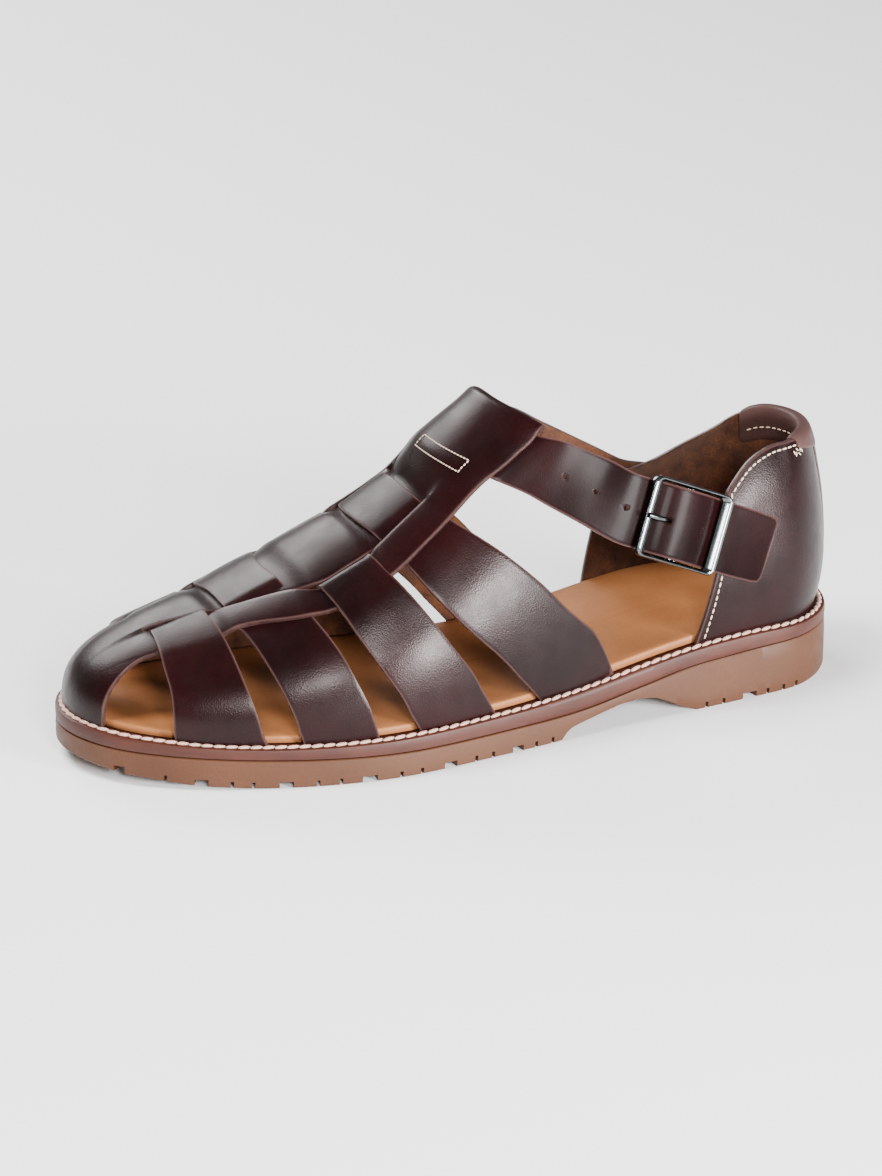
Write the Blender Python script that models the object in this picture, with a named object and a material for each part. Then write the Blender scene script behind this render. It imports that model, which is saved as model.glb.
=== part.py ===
"""Fisherman sandal, left shoe, European men's size 42 to 43.

A woven leather upper with an ankle strap and buckle, on a rubber outsole, a midsole and a leather
insole. Tables and sizes are in millimetres. Along the shoe, t runs from the heel's back (0) to the
toe (LENGTH). x is positive to the lateral side, z is the height above the floor.
In the scene: +X lateral, +Y to the heel, +Z up, and the origin is on the floor at t = LENGTH / 2.
"""

import math

import bmesh
import bpy
import numpy as np

MM = 0.001
GAP = 0.3  # between neighbouring pieces

# Driving sizes
LENGTH = 298.0
LEATHER = 2.0
STRAP_LEATHER = 2.2
STRAP_WIDTH = 26.0
RAISE = 1.5  # how much higher a strip lies where it passes over another
FEATHER_INSET = 5.0  # from the sole's edge to the line where the upper meets the sole

# The sole's outline, clockwise from the heel's back: t, x
OUTLINE = [
    (0, 0), (6, 21), (22, 35.5), (50, 40.5), (100, 44.5), (150, 51.5), (195, 55), (235, 47),
    (270, 32), (290, 15.5), (298, -6), (291, -27.5), (270, -41.5), (235, -47.5), (200, -46),
    (160, -39.5), (120, -34), (80, -34), (50, -36), (22, -33), (6, -20),
]

# Heights along the sole: t, z
WELT_TOP = [(0, 24.2), (60, 24.6), (120, 16.8), (190, 14.5), (250, 15.4), (298, 19.5)]
OUTSOLE_TOP = [
    (0, 19.5), (50, 18.6), (72, 17.2), (92, 13.6), (112, 10.3), (150, 9.0), (185, 9.0),
    (230, 10.2), (271, 12.2), (298, 13.8),
]
TREAD = [
    (0, 0.6), (6, 0), (40, 0), (69.5, 0), (71, 0.8), (76, 2.5), (80.5, 5.0), (86.5, 8.0), (93, 9.0),
    (101.5, 8.5), (110, 6.8), (121, 4.4), (124, 3.2), (126.5, 0), (160, 0), (200, 0), (228, 0),
    (245, 0.4), (263, 1.6), (281, 3.8), (298, 6.6),
]
INSOLE_THICK = 2.8
INSOLE_INSET, HEEL_INSET = 5.6, 2.0  # from the sole's edge, and as much more around the heel
# How much the insole rises under the medial arch: t, height
FOOTBED = [(0, 0.4), (40, 1.0), (75, 2.6), (110, 2.2), (150, 0.8), (200, 0.2), (298, 0)]

# Notches in the sole's side: first t, last t, depth into the side
NOTCHES = [
    (25, 26.2, 5), (31, 32.2, 5), (38, 39.2, 5), (43.5, 49.5, 13), (57.2, 58.4, 5), (64.5, 65.7, 5),
    (130, 131.2, 5), (137, 138.2, 5), (143, 147.5, 14), (155, 156.2, 5), (162, 163.2, 5),
    (170.6, 175.6, 14), (184, 185.2, 5), (192, 193.2, 5), (201.5, 207, 14), (214, 215.2, 5),
    (222, 223.2, 5), (231, 236, 14), (244, 245.2, 5), (251, 252.2, 5), (259, 264, 12),
    (272, 273.2, 4), (284, 288.5, 7),
]
NOTCH_HEIGHT = 2.4
# Grooves across the middle of the tread: t, half width in x, along t
GROOVES = [(188, 22, 3), (203, 22, 3), (218, 20, 3), (233, 18, 3), (172, 20, 3)]
GROOVE_DEPTH = 2.2

# The last: t, crest height above the welt, ridge x, roundness of the section, tuck angle
LAST = [
    (0, 300, 1, 2.0, 6), (80, 300, 1, 2.0, 6), (92, 235, 1, 2.0, 6), (102, 166, 1, 2.0, 7),
    (111, 135, 1, 2.0, 8), (122, 110.5, 0, 2.0, 9), (134, 98.5, 0, 2.05, 10),
    (146, 90, 0, 2.1, 11), (160, 79.5, -1, 2.15, 12), (180, 66, -3, 2.2, 13),
    (200, 54.6, -5, 2.25, 14), (220, 45.2, -7, 2.3, 15), (240, 36, -8, 2.3, 16),
    (255, 30.3, -8, 2.3, 17), (293, 26, -7, 2.3, 20),
]
TOE_START = 250.0
TOE_POWER = 2.3

# The centre piece of the vamp, from the tongue to the toe cap: t, sweep of the row towards the heel
# at its edges, then v of the near edge, near slit, far slit and far edge, then the lift of the
# rails and of the centre strand. v is 0 at the lateral edge of the last and 1 at the medial one.
CENTRE = [
    (135, 10, 0.332, 0.410, 0.590, 0.668, 5.3, 5.3),
    (155.8, 10, 0.337, 0.410, 0.590, 0.663, 5.3, 5.3),
    (160.5, 8, 0.338, 0.406, 0.586, 0.660, 2.6, 2.6),
    (164, 5, 0.335, 0.404, 0.582, 0.657, 2.2, 2.0),
    (168, 2, 0.330, 0.402, 0.575, 0.658, 1.5, 0.1),
    (186, 0, 0.312, 0.386, 0.600, 0.688, 1.5, 0.0),
    (192, 0, 0.310, 0.378, 0.612, 0.692, 0.3, 1.4),
    (197, 0, 0.311, 0.378, 0.618, 0.695, 0.0, 1.5),
    (209, 0, 0.316, 0.380, 0.630, 0.700, 0.1, 1.5),
    (217, 0, 0.324, 0.403, 0.639, 0.712, 1.4, 0.2),
    (238, 0, 0.374, 0.447, 0.655, 0.736, 1.5, 0.0),
    (245, 0, 0.380, 0.461, 0.650, 0.735, 0.2, 1.3),
    (250, 0, 0.383, 0.468, 0.643, 0.728, 0.0, 1.5),
    (262, 0, 0.388, 0.486, 0.622, 0.706, 0.2, 1.5),
    (268, 0, 0.390, 0.492, 0.610, 0.700, 0.8, 1.0),
]
SLITS = (164.0, 266.0)  # first and last t
SLIT_WIDTH = 0.006  # in v
# The toe cap's edge beside each opening, from the welt up to the rail: t, share of the rail's v
TOE_EDGE = [
    (287.4, 0.0), (287.2, 0.26), (286.6, 0.51), (284.0, 0.73), (279.0, 0.89), (273.0, 0.975),
]
TOE_ROWS = 7

# Cross straps: v, then front and back edges of straps 1 to 4 in t
STRAPS = [
    (0.00, 267.0, 237.5, 225.5, 199.0, 183.5, 153.0, 134.5, 103.0),
    (0.07, 268.0, 240.0, 228.0, 202.0, 189.5, 161.5, 149.0, 118.5),
    (0.14, 268.0, 242.0, 231.0, 206.5, 196.5, 171.0, 162.5, 132.0),
    (0.22, 267.5, 243.5, 234.0, 210.5, 202.5, 179.0, 173.0, 146.5),
    (0.32, 267.0, 244.0, 236.5, 215.0, 207.0, 186.5, 180.5, 160.0),
    (0.40, 265.5, 244.0, 238.0, 217.0, 209.5, 190.0, 184.5, 167.0),
    (0.50, 264.0, 244.5, 238.0, 219.0, 211.0, 192.0, 187.0, 169.0),
]
UNDER_STRAND = (True, False, True, False)  # straps 1 and 3 pass under the centre strand

# The loop at the tongue's top
ROLL_LIFT = 3.5  # height of the roll's axis above the last
LOOP_RETURN = 162.5  # where the folded layer ends
STITCH_ROWS = (159.0, 162.0)  # where the two layers are sewn together
SEAM_LIFTS = (1.2, 3.0)  # from inside the lower layer to inside the upper one
SWEEP_HALF = 0.165  # v from the centre to the tongue's edge, where the sweep is full

# The heel counter's inner face, outwards from the feather line: z above the welt, back, side
COUNTER = [
    (0, -1.8, 0.0), (10, 1.1, 1.2), (20, 2.1, 1.5), (30, 1.7, 0.9), (40, 0.8, -0.6),
    (50, -0.8, -2.8), (60, -2.8, -5.4), (70, -5.8, -8.4), (80, -9.5, -12.0),
]
# Toplines: t along the feather line, z above the welt
LATERAL_TOP = [(5, 68.0), (16, 67.8), (25, 67.4), (34.3, 66.2), (42.9, 62.6), (49.4, 57.2), (53.2, 53.5)]
MEDIAL_TOP = [
    (5, 68.0), (12, 66.5), (20, 62.5), (28, 58.2), (36.4, 54.5), (44.7, 51.0), (52.5, 47.6), (72, 45.0),
]
LATERAL_FRONT = 69.0  # t of the front edge at the welt
MEDIAL_FRONT = 83.0
BACKSTAY_HALF = 8.0
BACKSTAY_THICK = 1.0
COLLAR_REACH = (34.0, 27.0)  # from the back seam to the lateral and the medial end
COLLAR_OUTSIDE = 7.0
COLLAR_INSIDE = 12.5
COLLAR_PAD = 2.4

# The buckle lies in its own frame: u along the strap to the free end, w across it, h outwards
BUCKLE_T, BUCKLE_X, BUCKLE_Z = 76.5, 38.2, 72.3  # underside of the strap at the buckle's middle
BUCKLE_PITCH = math.radians(23.6)
BUCKLE_LEAN = math.radians(12.0)
BUCKLE_LONG, BUCKLE_TALL = 35.0, 30.0
BUCKLE_BAR, BUCKLE_THICK = 4.0, 2.8
BUCKLE_PLAY = 0.35  # beside the strap
BUCKLE_H = 2.9  # from the strap's underside to the frame's back
PIN_RADIUS, PIN_H = 1.3, 0.3
CHAPE_HALF, CHAPE_THICK = 9.0, 1.2
CHAPE_TAIL = [(12, -3.4), (26, -3.6)]  # u, h of the tail's outer face
PRONG_RADIUS = 1.0

# The strap's underside along the buckle: u, h
STRAP_IN_BUCKLE = [
    (-22, 0.0), (-17, 0.0), (-13, 0.1), (-10, 1.1), (-7, 2.5), (-3.5, 3.4), (0, 3.6), (3.5, 3.4),
    (7, 2.5), (10, 1.1), (13, 0.1), (17, 0.0), (21, 0.0),
]
# The strap's underside beside the foot: top edge t, x, z, low edge t, x, z
STRAP_LATERAL = [
    (119.0, 28.4, 107.4, 134.5, 31.0, 90.6),
    (110.0, 30.2, 102.9, 126.0, 33.8, 85.0),
    (100.8, 32.0, 98.0, 116.6, 37.2, 79.0),
]
STRAP_MEDIAL = [
    (74.5, -32.2, 77.5, 86.0, -36.2, 54.2),
    (86.5, -31.0, 84.8, 100.0, -35.3, 63.0),
    (99.0, -28.5, 92.5, 113.5, -32.8, 71.5),
    (112.5, -24.5, 101.0, 129.0, -28.0, 82.5),
]
STRAP_IN_LOOP = (136.0, 154.3, 10.0, 2.35)  # top t and low t at the tongue's middle, sweep, lift
STRAP_LOOP_V = (0.66, 0.63, 0.57, 0.5, 0.43, 0.37, 0.34)
# Its sewn end on the medial quarter: top t, top z, low t, low z, above the welt
STRAP_SEWN = [(54.0, 43.5, 60.0, 20.0), (63.5, 47.0, 71.5, 23.5)]
FREE_END = [(27, 26), (36, 25), (40, 19)]  # u, width

# Holes in the strap: along its run from the buckle's middle, against u
HOLES = [-6.5, 7.0, -24.5, -37.0, -50.0]
HOLE_RADIUS = 2.1

LEATHER_BROWN = (0.045, 0.016, 0.014, 1)
SUEDE = (0.17, 0.07, 0.03, 1)
TAN = (0.40, 0.20, 0.09, 1)
MIDSOLE_RED = (0.22, 0.10, 0.07, 1)
RUBBER_TAN = (0.28, 0.16, 0.10, 1)
GUNMETAL = (0.30, 0.32, 0.34, 1)


def through(rows, at):
    """A smooth curve through the rows, whose first column is the key."""
    rows = np.asarray(rows, float)
    key, value = rows[:, 0], rows[:, 1:]
    slope = np.gradient(value, key, axis=0)
    at = np.clip(np.asarray(at, float), key[0], key[-1])
    i = np.clip(np.searchsorted(key, at) - 1, 0, len(key) - 2)
    step = (key[i + 1] - key[i])[..., None]
    u = (at - key[i])[..., None] / step
    start = (1 + 2 * u) * (1 - u) ** 2 * value[i] + u * (1 - u) ** 2 * step * slope[i]
    end = u * u * (3 - 2 * u) * value[i + 1] + u * u * (u - 1) * step * slope[i + 1]
    return (start + end)[..., 0] if value.shape[1] == 1 else start + end


def straight(rows, at, column=1):
    rows = np.asarray(rows, float)
    return np.interp(at, rows[:, 0], rows[:, column])


def closed_curve(points, count=480):
    """A smooth closed curve through the points, evenly spread over their chords' square roots."""
    p = np.asarray(points, float)
    wrapped = np.vstack([p[-3:], p, p[:4]])
    chord = np.linalg.norm(np.diff(wrapped, axis=0), axis=1) ** 0.5
    key = np.r_[0, np.cumsum(chord)]
    at = np.linspace(key[3], key[len(p) + 3], count, endpoint=False)
    return through(np.c_[key, wrapped], at)


def inset(line, distance):
    """The closed line moved inwards, by one distance or by one for each point."""
    along = np.roll(line, -1, 0) - np.roll(line, 1, 0)
    along /= np.linalg.norm(along, axis=1)[:, None]
    return line + distance * np.c_[along[:, 1], -along[:, 0]]


def two_sides(line):
    """The line's lateral and medial halves, each from the heel's back to the toe."""
    back, toe = line[:, 0].argmin(), line[:, 0].argmax()
    turned = np.roll(line, -back, 0)
    count = (toe - back) % len(line)
    first, second = turned[: count + 1], np.vstack([turned[count:], turned[:1]])[::-1]
    halves = (first, second) if first[:, 1].mean() > second[:, 1].mean() else (second, first)
    return [half[np.r_[True, np.diff(np.maximum.accumulate(half[:, 0])) > 1e-6]] for half in halves]


EDGE = closed_curve(OUTLINE)
FEATHER = inset(EDGE, FEATHER_INSET)
FEATHER_SIDES = two_sides(FEATHER)
T_TIP = FEATHER[:, 0].max()


def welt_top(t):
    return through(WELT_TOP, t)


def last(t, v):
    """The last's surface: t along it, v from its lateral edge (0) over the top to its medial edge (1)."""
    t, v = np.broadcast_arrays(np.asarray(t, float), np.asarray(v, float))
    rows = through(LAST, t)
    share = np.clip((t - TOE_START) / (T_TIP - TOE_START), 0, 1)
    height = rows[..., 0] * (1 - share**TOE_POWER) ** (1 / TOE_POWER)
    ridge, power, tuck = rows[..., 1], rows[..., 2], np.radians(rows[..., 3])
    angle = -tuck + v * (np.pi + 2 * tuck)
    c, s = np.cos(angle), np.sin(angle)
    lateral, medial = (np.interp(t, side[:, 0], side[:, 1]) for side in FEATHER_SIDES)
    wide = np.where(c > 0, lateral - ridge, ridge - medial) / np.cos(tuck) ** (2 / power)
    x = ridge + wide * np.sign(c) * np.abs(c) ** (2 / power)
    widest = height * 0.16
    above = widest + (height - widest) * np.abs(s) ** (2 / power)
    below = widest * (1 - np.abs(s) ** (2 / power) / np.sin(tuck) ** (2 / power))
    return np.stack([x, LENGTH / 2 - t, welt_top(t) + np.where(s >= 0, above, below)], -1)


def unit(vectors):
    return vectors / np.linalg.norm(vectors, axis=-1)[..., None]


def last_frame(t, v):
    """A point of the last, its outward normal and its direction towards the heel."""
    step = 0.4
    t = np.minimum(np.asarray(t, float), T_TIP - 0.05)
    v = np.asarray(v, float)
    along = last(t - step, v) - last(np.minimum(t + step, T_TIP - 0.01), v)
    across = last(t, v + 0.004) - last(t, v - 0.004)
    normal = unit(np.cross(along, across))
    return last(t, v), normal, unit(along)


def lifted(t, v, lift):
    """The last's surface raised along its normal, and kept just above the welt."""
    point, normal, _ = last_frame(t, v)
    point = point + normal * np.asarray(lift, float)[..., None]
    floor = welt_top(LENGTH / 2 - point[..., 1]) + GAP
    point[..., 2] = np.maximum(point[..., 2], floor)
    return point


def at_welt(points):
    """The points moved straight down to the welt."""
    dropped = points.copy()
    dropped[..., 2] = welt_top(LENGTH / 2 - points[..., 1]) + GAP
    return dropped


def material(name, colour, roughness, metallic=0.0):
    found = bpy.data.materials.get(name)
    if found:
        return found
    made = bpy.data.materials.new(name)
    made.use_nodes = True
    surface = made.node_tree.nodes["Principled BSDF"]
    surface.inputs["Base Color"].default_value = colour
    surface.inputs["Roughness"].default_value = roughness
    surface.inputs["Metallic"].default_value = metallic
    return made


def add_object(name, bm, look=None):
    bmesh.ops.remove_doubles(bm, verts=bm.verts, dist=1e-7)
    bmesh.ops.recalc_face_normals(bm, faces=bm.faces)
    mesh = bpy.data.meshes.new(name)
    bm.to_mesh(mesh)
    bm.free()
    made = bpy.data.objects.new(name, mesh)
    bpy.context.collection.objects.link(made)
    if look:
        mesh.materials.append(look)
        mesh.shade_smooth()
        mesh.set_sharp_from_angle(angle=math.radians(35))
    return made


def sheet(name, low, high, look=None, keep=None):
    """A closed shell between two grids of points. Cells that keep leaves out are open."""
    rows, columns = low.shape[:2]
    bm = bmesh.new()
    number = bm.verts.layers.int.new("number")
    verts = [bm.verts.new(point * MM) for point in low.reshape(-1, 3)]
    for i, vert in enumerate(verts):
        vert[number] = i
    for i in range(rows - 1):
        for j in range(columns - 1):
            if keep is None or keep[i, j]:
                near, far = i * columns + j, (i + 1) * columns + j
                bm.faces.new([verts[k] for k in (near, near + 1, far + 1, far)])
    bmesh.ops.delete(bm, geom=[v for v in bm.verts if not v.link_faces], context="VERTS")
    raised = bmesh.ops.extrude_face_region(bm, geom=bm.faces[:], use_keep_orig=True)
    outer = high.reshape(-1, 3)
    for item in raised["geom"]:
        if isinstance(item, bmesh.types.BMVert):
            item.co = outer[item[number]] * MM
    return add_object(name, bm, look)


def plate(name, sides, stations, columns, low, high, look):
    """A plate between two outline halves: low and high give z from t and the share across it."""
    t = np.asarray(stations, float)
    lateral, medial = (np.interp(t, side[:, 0], side[:, 1]) for side in sides)
    share = np.linspace(0, 1, columns)
    x = lateral[:, None] + (medial - lateral)[:, None] * share
    y = np.broadcast_to((LENGTH / 2 - t)[:, None], x.shape)
    grids = [np.stack([x, y, level(t[:, None], share[None, :]) + 0 * x], -1) for level in (low, high)]
    bm = bmesh.new()
    layers = []
    for grid in grids:
        ends = [bm.verts.new(grid[0, columns // 2] * MM), bm.verts.new(grid[-1, columns // 2] * MM)]
        inner = [[bm.verts.new(point * MM) for point in row] for row in grid[1:-1]]
        layers.append([[ends[0]] * columns, *inner, [ends[1]] * columns])
    for layer in layers:
        for row, after in zip(layer, layer[1:]):
            for j in range(columns - 1):
                bm.faces.new(dict.fromkeys([row[j], row[j + 1], after[j + 1], after[j]]))
    for j in (0, columns - 1):
        for i in range(len(t) - 1):
            bm.faces.new([layers[0][i][j], layers[0][i + 1][j], layers[1][i + 1][j], layers[1][i][j]])
    return add_object(name, bm, look)


def lofted(name, rings, look=None, closed=False):
    """A solid through rings of points, all with the same count, capped at its ends unless closed."""
    bm = bmesh.new()
    loops = [[bm.verts.new(point * MM) for point in ring] for ring in rings]
    pairs = list(zip(loops, loops[1:])) + ([(loops[-1], loops[0])] if closed else [])
    for first, second in pairs:
        for i in range(len(first)):
            k = (i + 1) % len(first)
            bm.faces.new([first[i], first[k], second[k], second[i]])
    if not closed:
        bm.faces.new(loops[0][::-1])
        bm.faces.new(loops[-1])
    return add_object(name, bm, look)


def boxes(name, frames):
    """One cutter of separate boxes, each from its middle, its three unit axes and its three sizes."""
    bm = bmesh.new()
    for middle, axes, sizes in frames:
        made = bmesh.ops.create_cube(bm, size=1.0)["verts"]
        for vert in made:
            offset = sum(axis * size * k for axis, size, k in zip(axes, sizes, vert.co))
            vert.co = (middle + offset) * MM
    return add_object(name, bm)


def triangulated(target):
    bm = bmesh.new()
    bm.from_mesh(target.data)
    bmesh.ops.triangulate(bm, faces=bm.faces)
    bm.to_mesh(target.data)
    bm.free()


def boolean(target, tool, operation):
    """Applies a Boolean and removes its tool. Bent quads are split first, so that both sides agree."""
    triangulated(target)
    triangulated(tool)
    step = target.modifiers.new(operation, "BOOLEAN")
    step.operation = operation
    step.object = tool
    step.solver = "EXACT"
    tool.hide_render = True
    tool.display_type = "WIRE"
    graph = bpy.context.evaluated_depsgraph_get()
    mesh = bpy.data.meshes.new_from_object(target.evaluated_get(graph))
    target.modifiers.remove(step)
    old = target.data
    target.data = mesh
    mesh.name = target.name
    bpy.data.meshes.remove(old)
    bpy.data.objects.remove(tool)
    return target


def tidied(target, distance=0.02 * MM):
    """Dissolves the slivers that joining leaves."""
    bm = bmesh.new()
    bm.from_mesh(target.data)
    bmesh.ops.remove_doubles(bm, verts=bm.verts, dist=distance)
    bmesh.ops.dissolve_degenerate(bm, dist=distance, edges=bm.edges)
    bm.to_mesh(target.data)
    bm.free()
    return target


def bunched(first, last_one, count):
    """Stations that lie closer towards both ends, as a cosine does."""
    return first + (last_one - first) * (1 - np.cos(np.linspace(0, np.pi, count))) / 2


def sole_stations():
    """Stations for the sole's layers: bunched at the ends, with the tread's own breaks between."""
    ends = [t for t in bunched(0, 60, 15) if t < 30] + [LENGTH - t for t in bunched(0, 60, 15) if t < 30]
    breaks = [row[0] for row in TREAD if 30 < row[0] < LENGTH - 30]
    return sorted({round(t, 3) for t in [*ends, *breaks, 32, 50, 60, 143, 178, 214, 255]})


def side_point(t, side):
    """A point of the sole's edge at t, with its outward direction, on the lateral (0) or medial (1) side."""
    edge = two_sides(EDGE)[side]
    here = np.array([np.interp(t, edge[:, 0], edge[:, 1]), LENGTH / 2 - t])
    there = np.array([np.interp(t + 1, edge[:, 0], edge[:, 1]), LENGTH / 2 - t - 1])
    along = (there - here) / np.linalg.norm(there - here)
    out = np.array([-along[1], along[0]]) * (1 if side == 0 else -1)
    return here, along, out


def build_sole():
    rubber = material("sole_rubber", RUBBER_TAN, 0.6)
    stations = sole_stations()
    outsole = plate(
        "outsole", two_sides(EDGE), stations, 3,
        lambda t, c: straight(TREAD, t), lambda t, c: through(OUTSOLE_TOP, t), rubber,
    )
    up = np.array([0, 0, 1.0])
    cuts = []
    for first, final, depth in NOTCHES:
        t = (first + final) / 2
        for side in (0, 1):
            here, along, out = side_point(t, side)
            level = straight(TREAD, t) + NOTCH_HEIGHT / 2 - 2
            middle = np.array([*(here - out * (depth / 2 - 2)), level])
            axes = (np.array([*along, 0]), np.array([*out, 0]), up)
            cuts.append((middle, axes, (final - first, depth + 4, NOTCH_HEIGHT + 4)))
    for t, half, width in GROOVES:
        level = straight(TREAD, t) + GROOVE_DEPTH / 2 - 2
        middle = np.array([2.0, LENGTH / 2 - t, level])
        cuts.append((middle, np.eye(3), (2 * half, width, GROOVE_DEPTH + 4)))
    boolean(outsole, boxes("tread_cuts", cuts), "DIFFERENCE")
    plate(
        "midsole", two_sides(EDGE), stations, 3,
        lambda t, c: through(OUTSOLE_TOP, t) + GAP, lambda t, c: welt_top(t),
        material("midsole_leather", MIDSOLE_RED, 0.6),
    )
    heel = np.clip((40 - EDGE[:, :1]) / 25, 0, 1)
    inner = two_sides(inset(EDGE, INSOLE_INSET + HEEL_INSET * heel))
    tips = [side[0, 0] for side in inner] + [side[-1, 0] for side in inner]
    first, final = min(tips), max(tips)
    plate(
        "insole", inner, bunched(first, final, 41), 7,
        lambda t, c: welt_top(t) + GAP,
        lambda t, c: welt_top(t) + GAP + INSOLE_THICK + through(FOOTBED, t) * (0.15 + 0.85 * c**1.5),
        material("insole_leather", TAN, 0.45),
    )


def centre_rows():
    """Stations of the vamp's centre piece, from the tongue's roll to the toe cap."""
    return np.array([
        135, 138.5, 142.5, 147, 151.5, 155.8, 158, 160.5, 164, 166, 169, 173, 178, 183, 187, 190.5, 194, 199,
        204, 209, 213, 217, 222, 228, 233.5, 238, 241.5, 245.5, 250, 256, 261, 266,
    ])


def centre_columns(rows):
    """v of every column of the centre piece: two cells for a rail, a slit, five for the strand."""
    table = through(CENTRE, rows)
    near, slit_near, slit_far, far = (table[:, k] for k in (1, 2, 3, 4))
    half = SLIT_WIDTH / 2
    parts = [
        near[:, None] + (slit_near - half - near)[:, None] * np.linspace(0, 1, 3),
        (slit_near + half)[:, None] + (slit_far - slit_near - 2 * half)[:, None] * np.linspace(0, 1, 6),
        (slit_far + half)[:, None] + (far - slit_far - half)[:, None] * np.linspace(0, 1, 3),
    ]
    return np.hstack(parts)


def swept(t, sweep, v):
    """t of a row whose edges are swept towards the heel."""
    return t - sweep * np.clip(np.abs(v - 0.5) / SWEEP_HALF, 0, 1.2) ** 2


def vamp_centre():
    """The tongue, the rails, the centre strand and the toe cap: one sheet with two slits."""
    rows = centre_rows()
    table = through(CENTRE, rows)
    v = centre_columns(rows)
    t = swept(rows[:, None], table[:, :1], v)
    rail, strand = (straight(CENTRE, rows, column)[:, None] for column in (6, 7))
    lift = np.hstack([np.repeat(rail, 3, 1), np.repeat(strand, 6, 1), np.repeat(rail, 3, 1)])
    # Side columns of the toe cap, which start at the openings' edge
    edge_t, edge_share = np.array(TOE_EDGE, float).T
    pad = len(edge_t)
    last_v = v[-1]
    first_t = np.r_[edge_t, np.full(12, rows[-1]), edge_t[::-1]]
    first_v = np.r_[edge_share * last_v[0], last_v, 1 - edge_share[::-1] * (1 - last_v[-1])]
    swing = np.sin(np.linspace(0, np.radians(86), TOE_ROWS + 1)) ** (2 / TOE_POWER)
    toe_t, toe_v, toe_lift = [], [], []
    start_lift = np.r_[np.full(pad, 0.6), lift[-1], np.full(pad, 0.6)]
    for k in swing[1:]:
        toe_t.append(first_t + (T_TIP - 0.1 - first_t) * k)
        toe_v.append(first_v)
        toe_lift.append(start_lift * (1 - k) + 0.6 * k)
    blank = np.full((len(rows), pad), np.nan)
    low_t = np.hstack([blank, t, blank])
    low_v = np.hstack([blank, v, blank])
    low_lift = np.hstack([blank, lift, blank])
    low_t[-1], low_v[-1], low_lift[-1] = first_t, first_v, start_lift
    pairs = ((low_t, toe_t), (low_v, toe_v), (low_lift, toe_lift))
    low_t, low_v, low_lift = (np.vstack(pair) for pair in pairs)
    keep = np.zeros((low_t.shape[0] - 1, low_t.shape[1] - 1), bool)
    keep[: len(rows) - 1, pad : pad + 11] = True
    keep[len(rows) - 1 :, :] = True
    in_slit = (rows[:-1] >= SLITS[0] - 0.1) & (rows[1:] <= SLITS[1] + 0.1)
    for column in (pad + 2, pad + 8):
        keep[: len(rows) - 1, column][in_slit] = False
    filled = np.isfinite(low_t)
    fallback = ((low_t, LENGTH / 2), (low_v, 0.5), (low_lift, 0))
    safe_t, safe_v, safe_lift = (np.where(filled, grid, value) for grid, value in fallback)
    low = lifted(safe_t, safe_v, safe_lift)
    high = lifted(safe_t, safe_v, safe_lift + LEATHER)
    low, high = (np.vstack([grid, at_welt(grid[-1:])]) for grid in (low, high))
    keep = np.vstack([keep, keep[-1:]])
    # The roll over the ankle strap and the layer that returns below it
    roll_low, roll_high = loop_rows(v[0], table[0, 0], rail[0, 0])
    blank = np.zeros((len(roll_low), pad, 3))
    low = np.vstack([np.concatenate([blank, roll_low, blank], 1), low])
    high = np.vstack([np.concatenate([blank, roll_high, blank], 1), high])
    extra = np.zeros((len(roll_low), keep.shape[1]), bool)
    extra[:, pad : pad + 11] = True
    return sheet("upper", low, high, material("upper_leather", LEATHER_BROWN, 0.35), np.vstack([extra, keep]))


def loop_rows(v, sweep, lift):
    """Rows of the returning layer and of the roll, from the layer's end to the tongue's top face."""
    rows_low, rows_high = [], []
    return_lift = 2 * ROLL_LIFT - (lift + LEATHER / 2)
    half = LEATHER / 2
    for t in (LOOP_RETURN, 158, 153, 148, 143, 138.5):
        row_t = swept(t, sweep, v)
        point, normal, _ = last_frame(row_t, v)
        rows_low.append(point + normal * (return_lift + half))
        rows_high.append(point + normal * (return_lift - half + 0.3))
    radius = lift + half - ROLL_LIFT
    row_t = swept(centre_rows()[0], sweep, v)
    point, normal, back = last_frame(row_t, v)
    axis = point + normal * ROLL_LIFT
    for angle in np.radians([180, 150, 120, 90, 60, 30]):
        out = normal * np.cos(angle) + back * np.sin(angle)
        rows_low.append(axis + out * (radius - half))
        rows_high.append(axis + out * (radius + half))
    return np.array(rows_low), np.array(rows_high)


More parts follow.
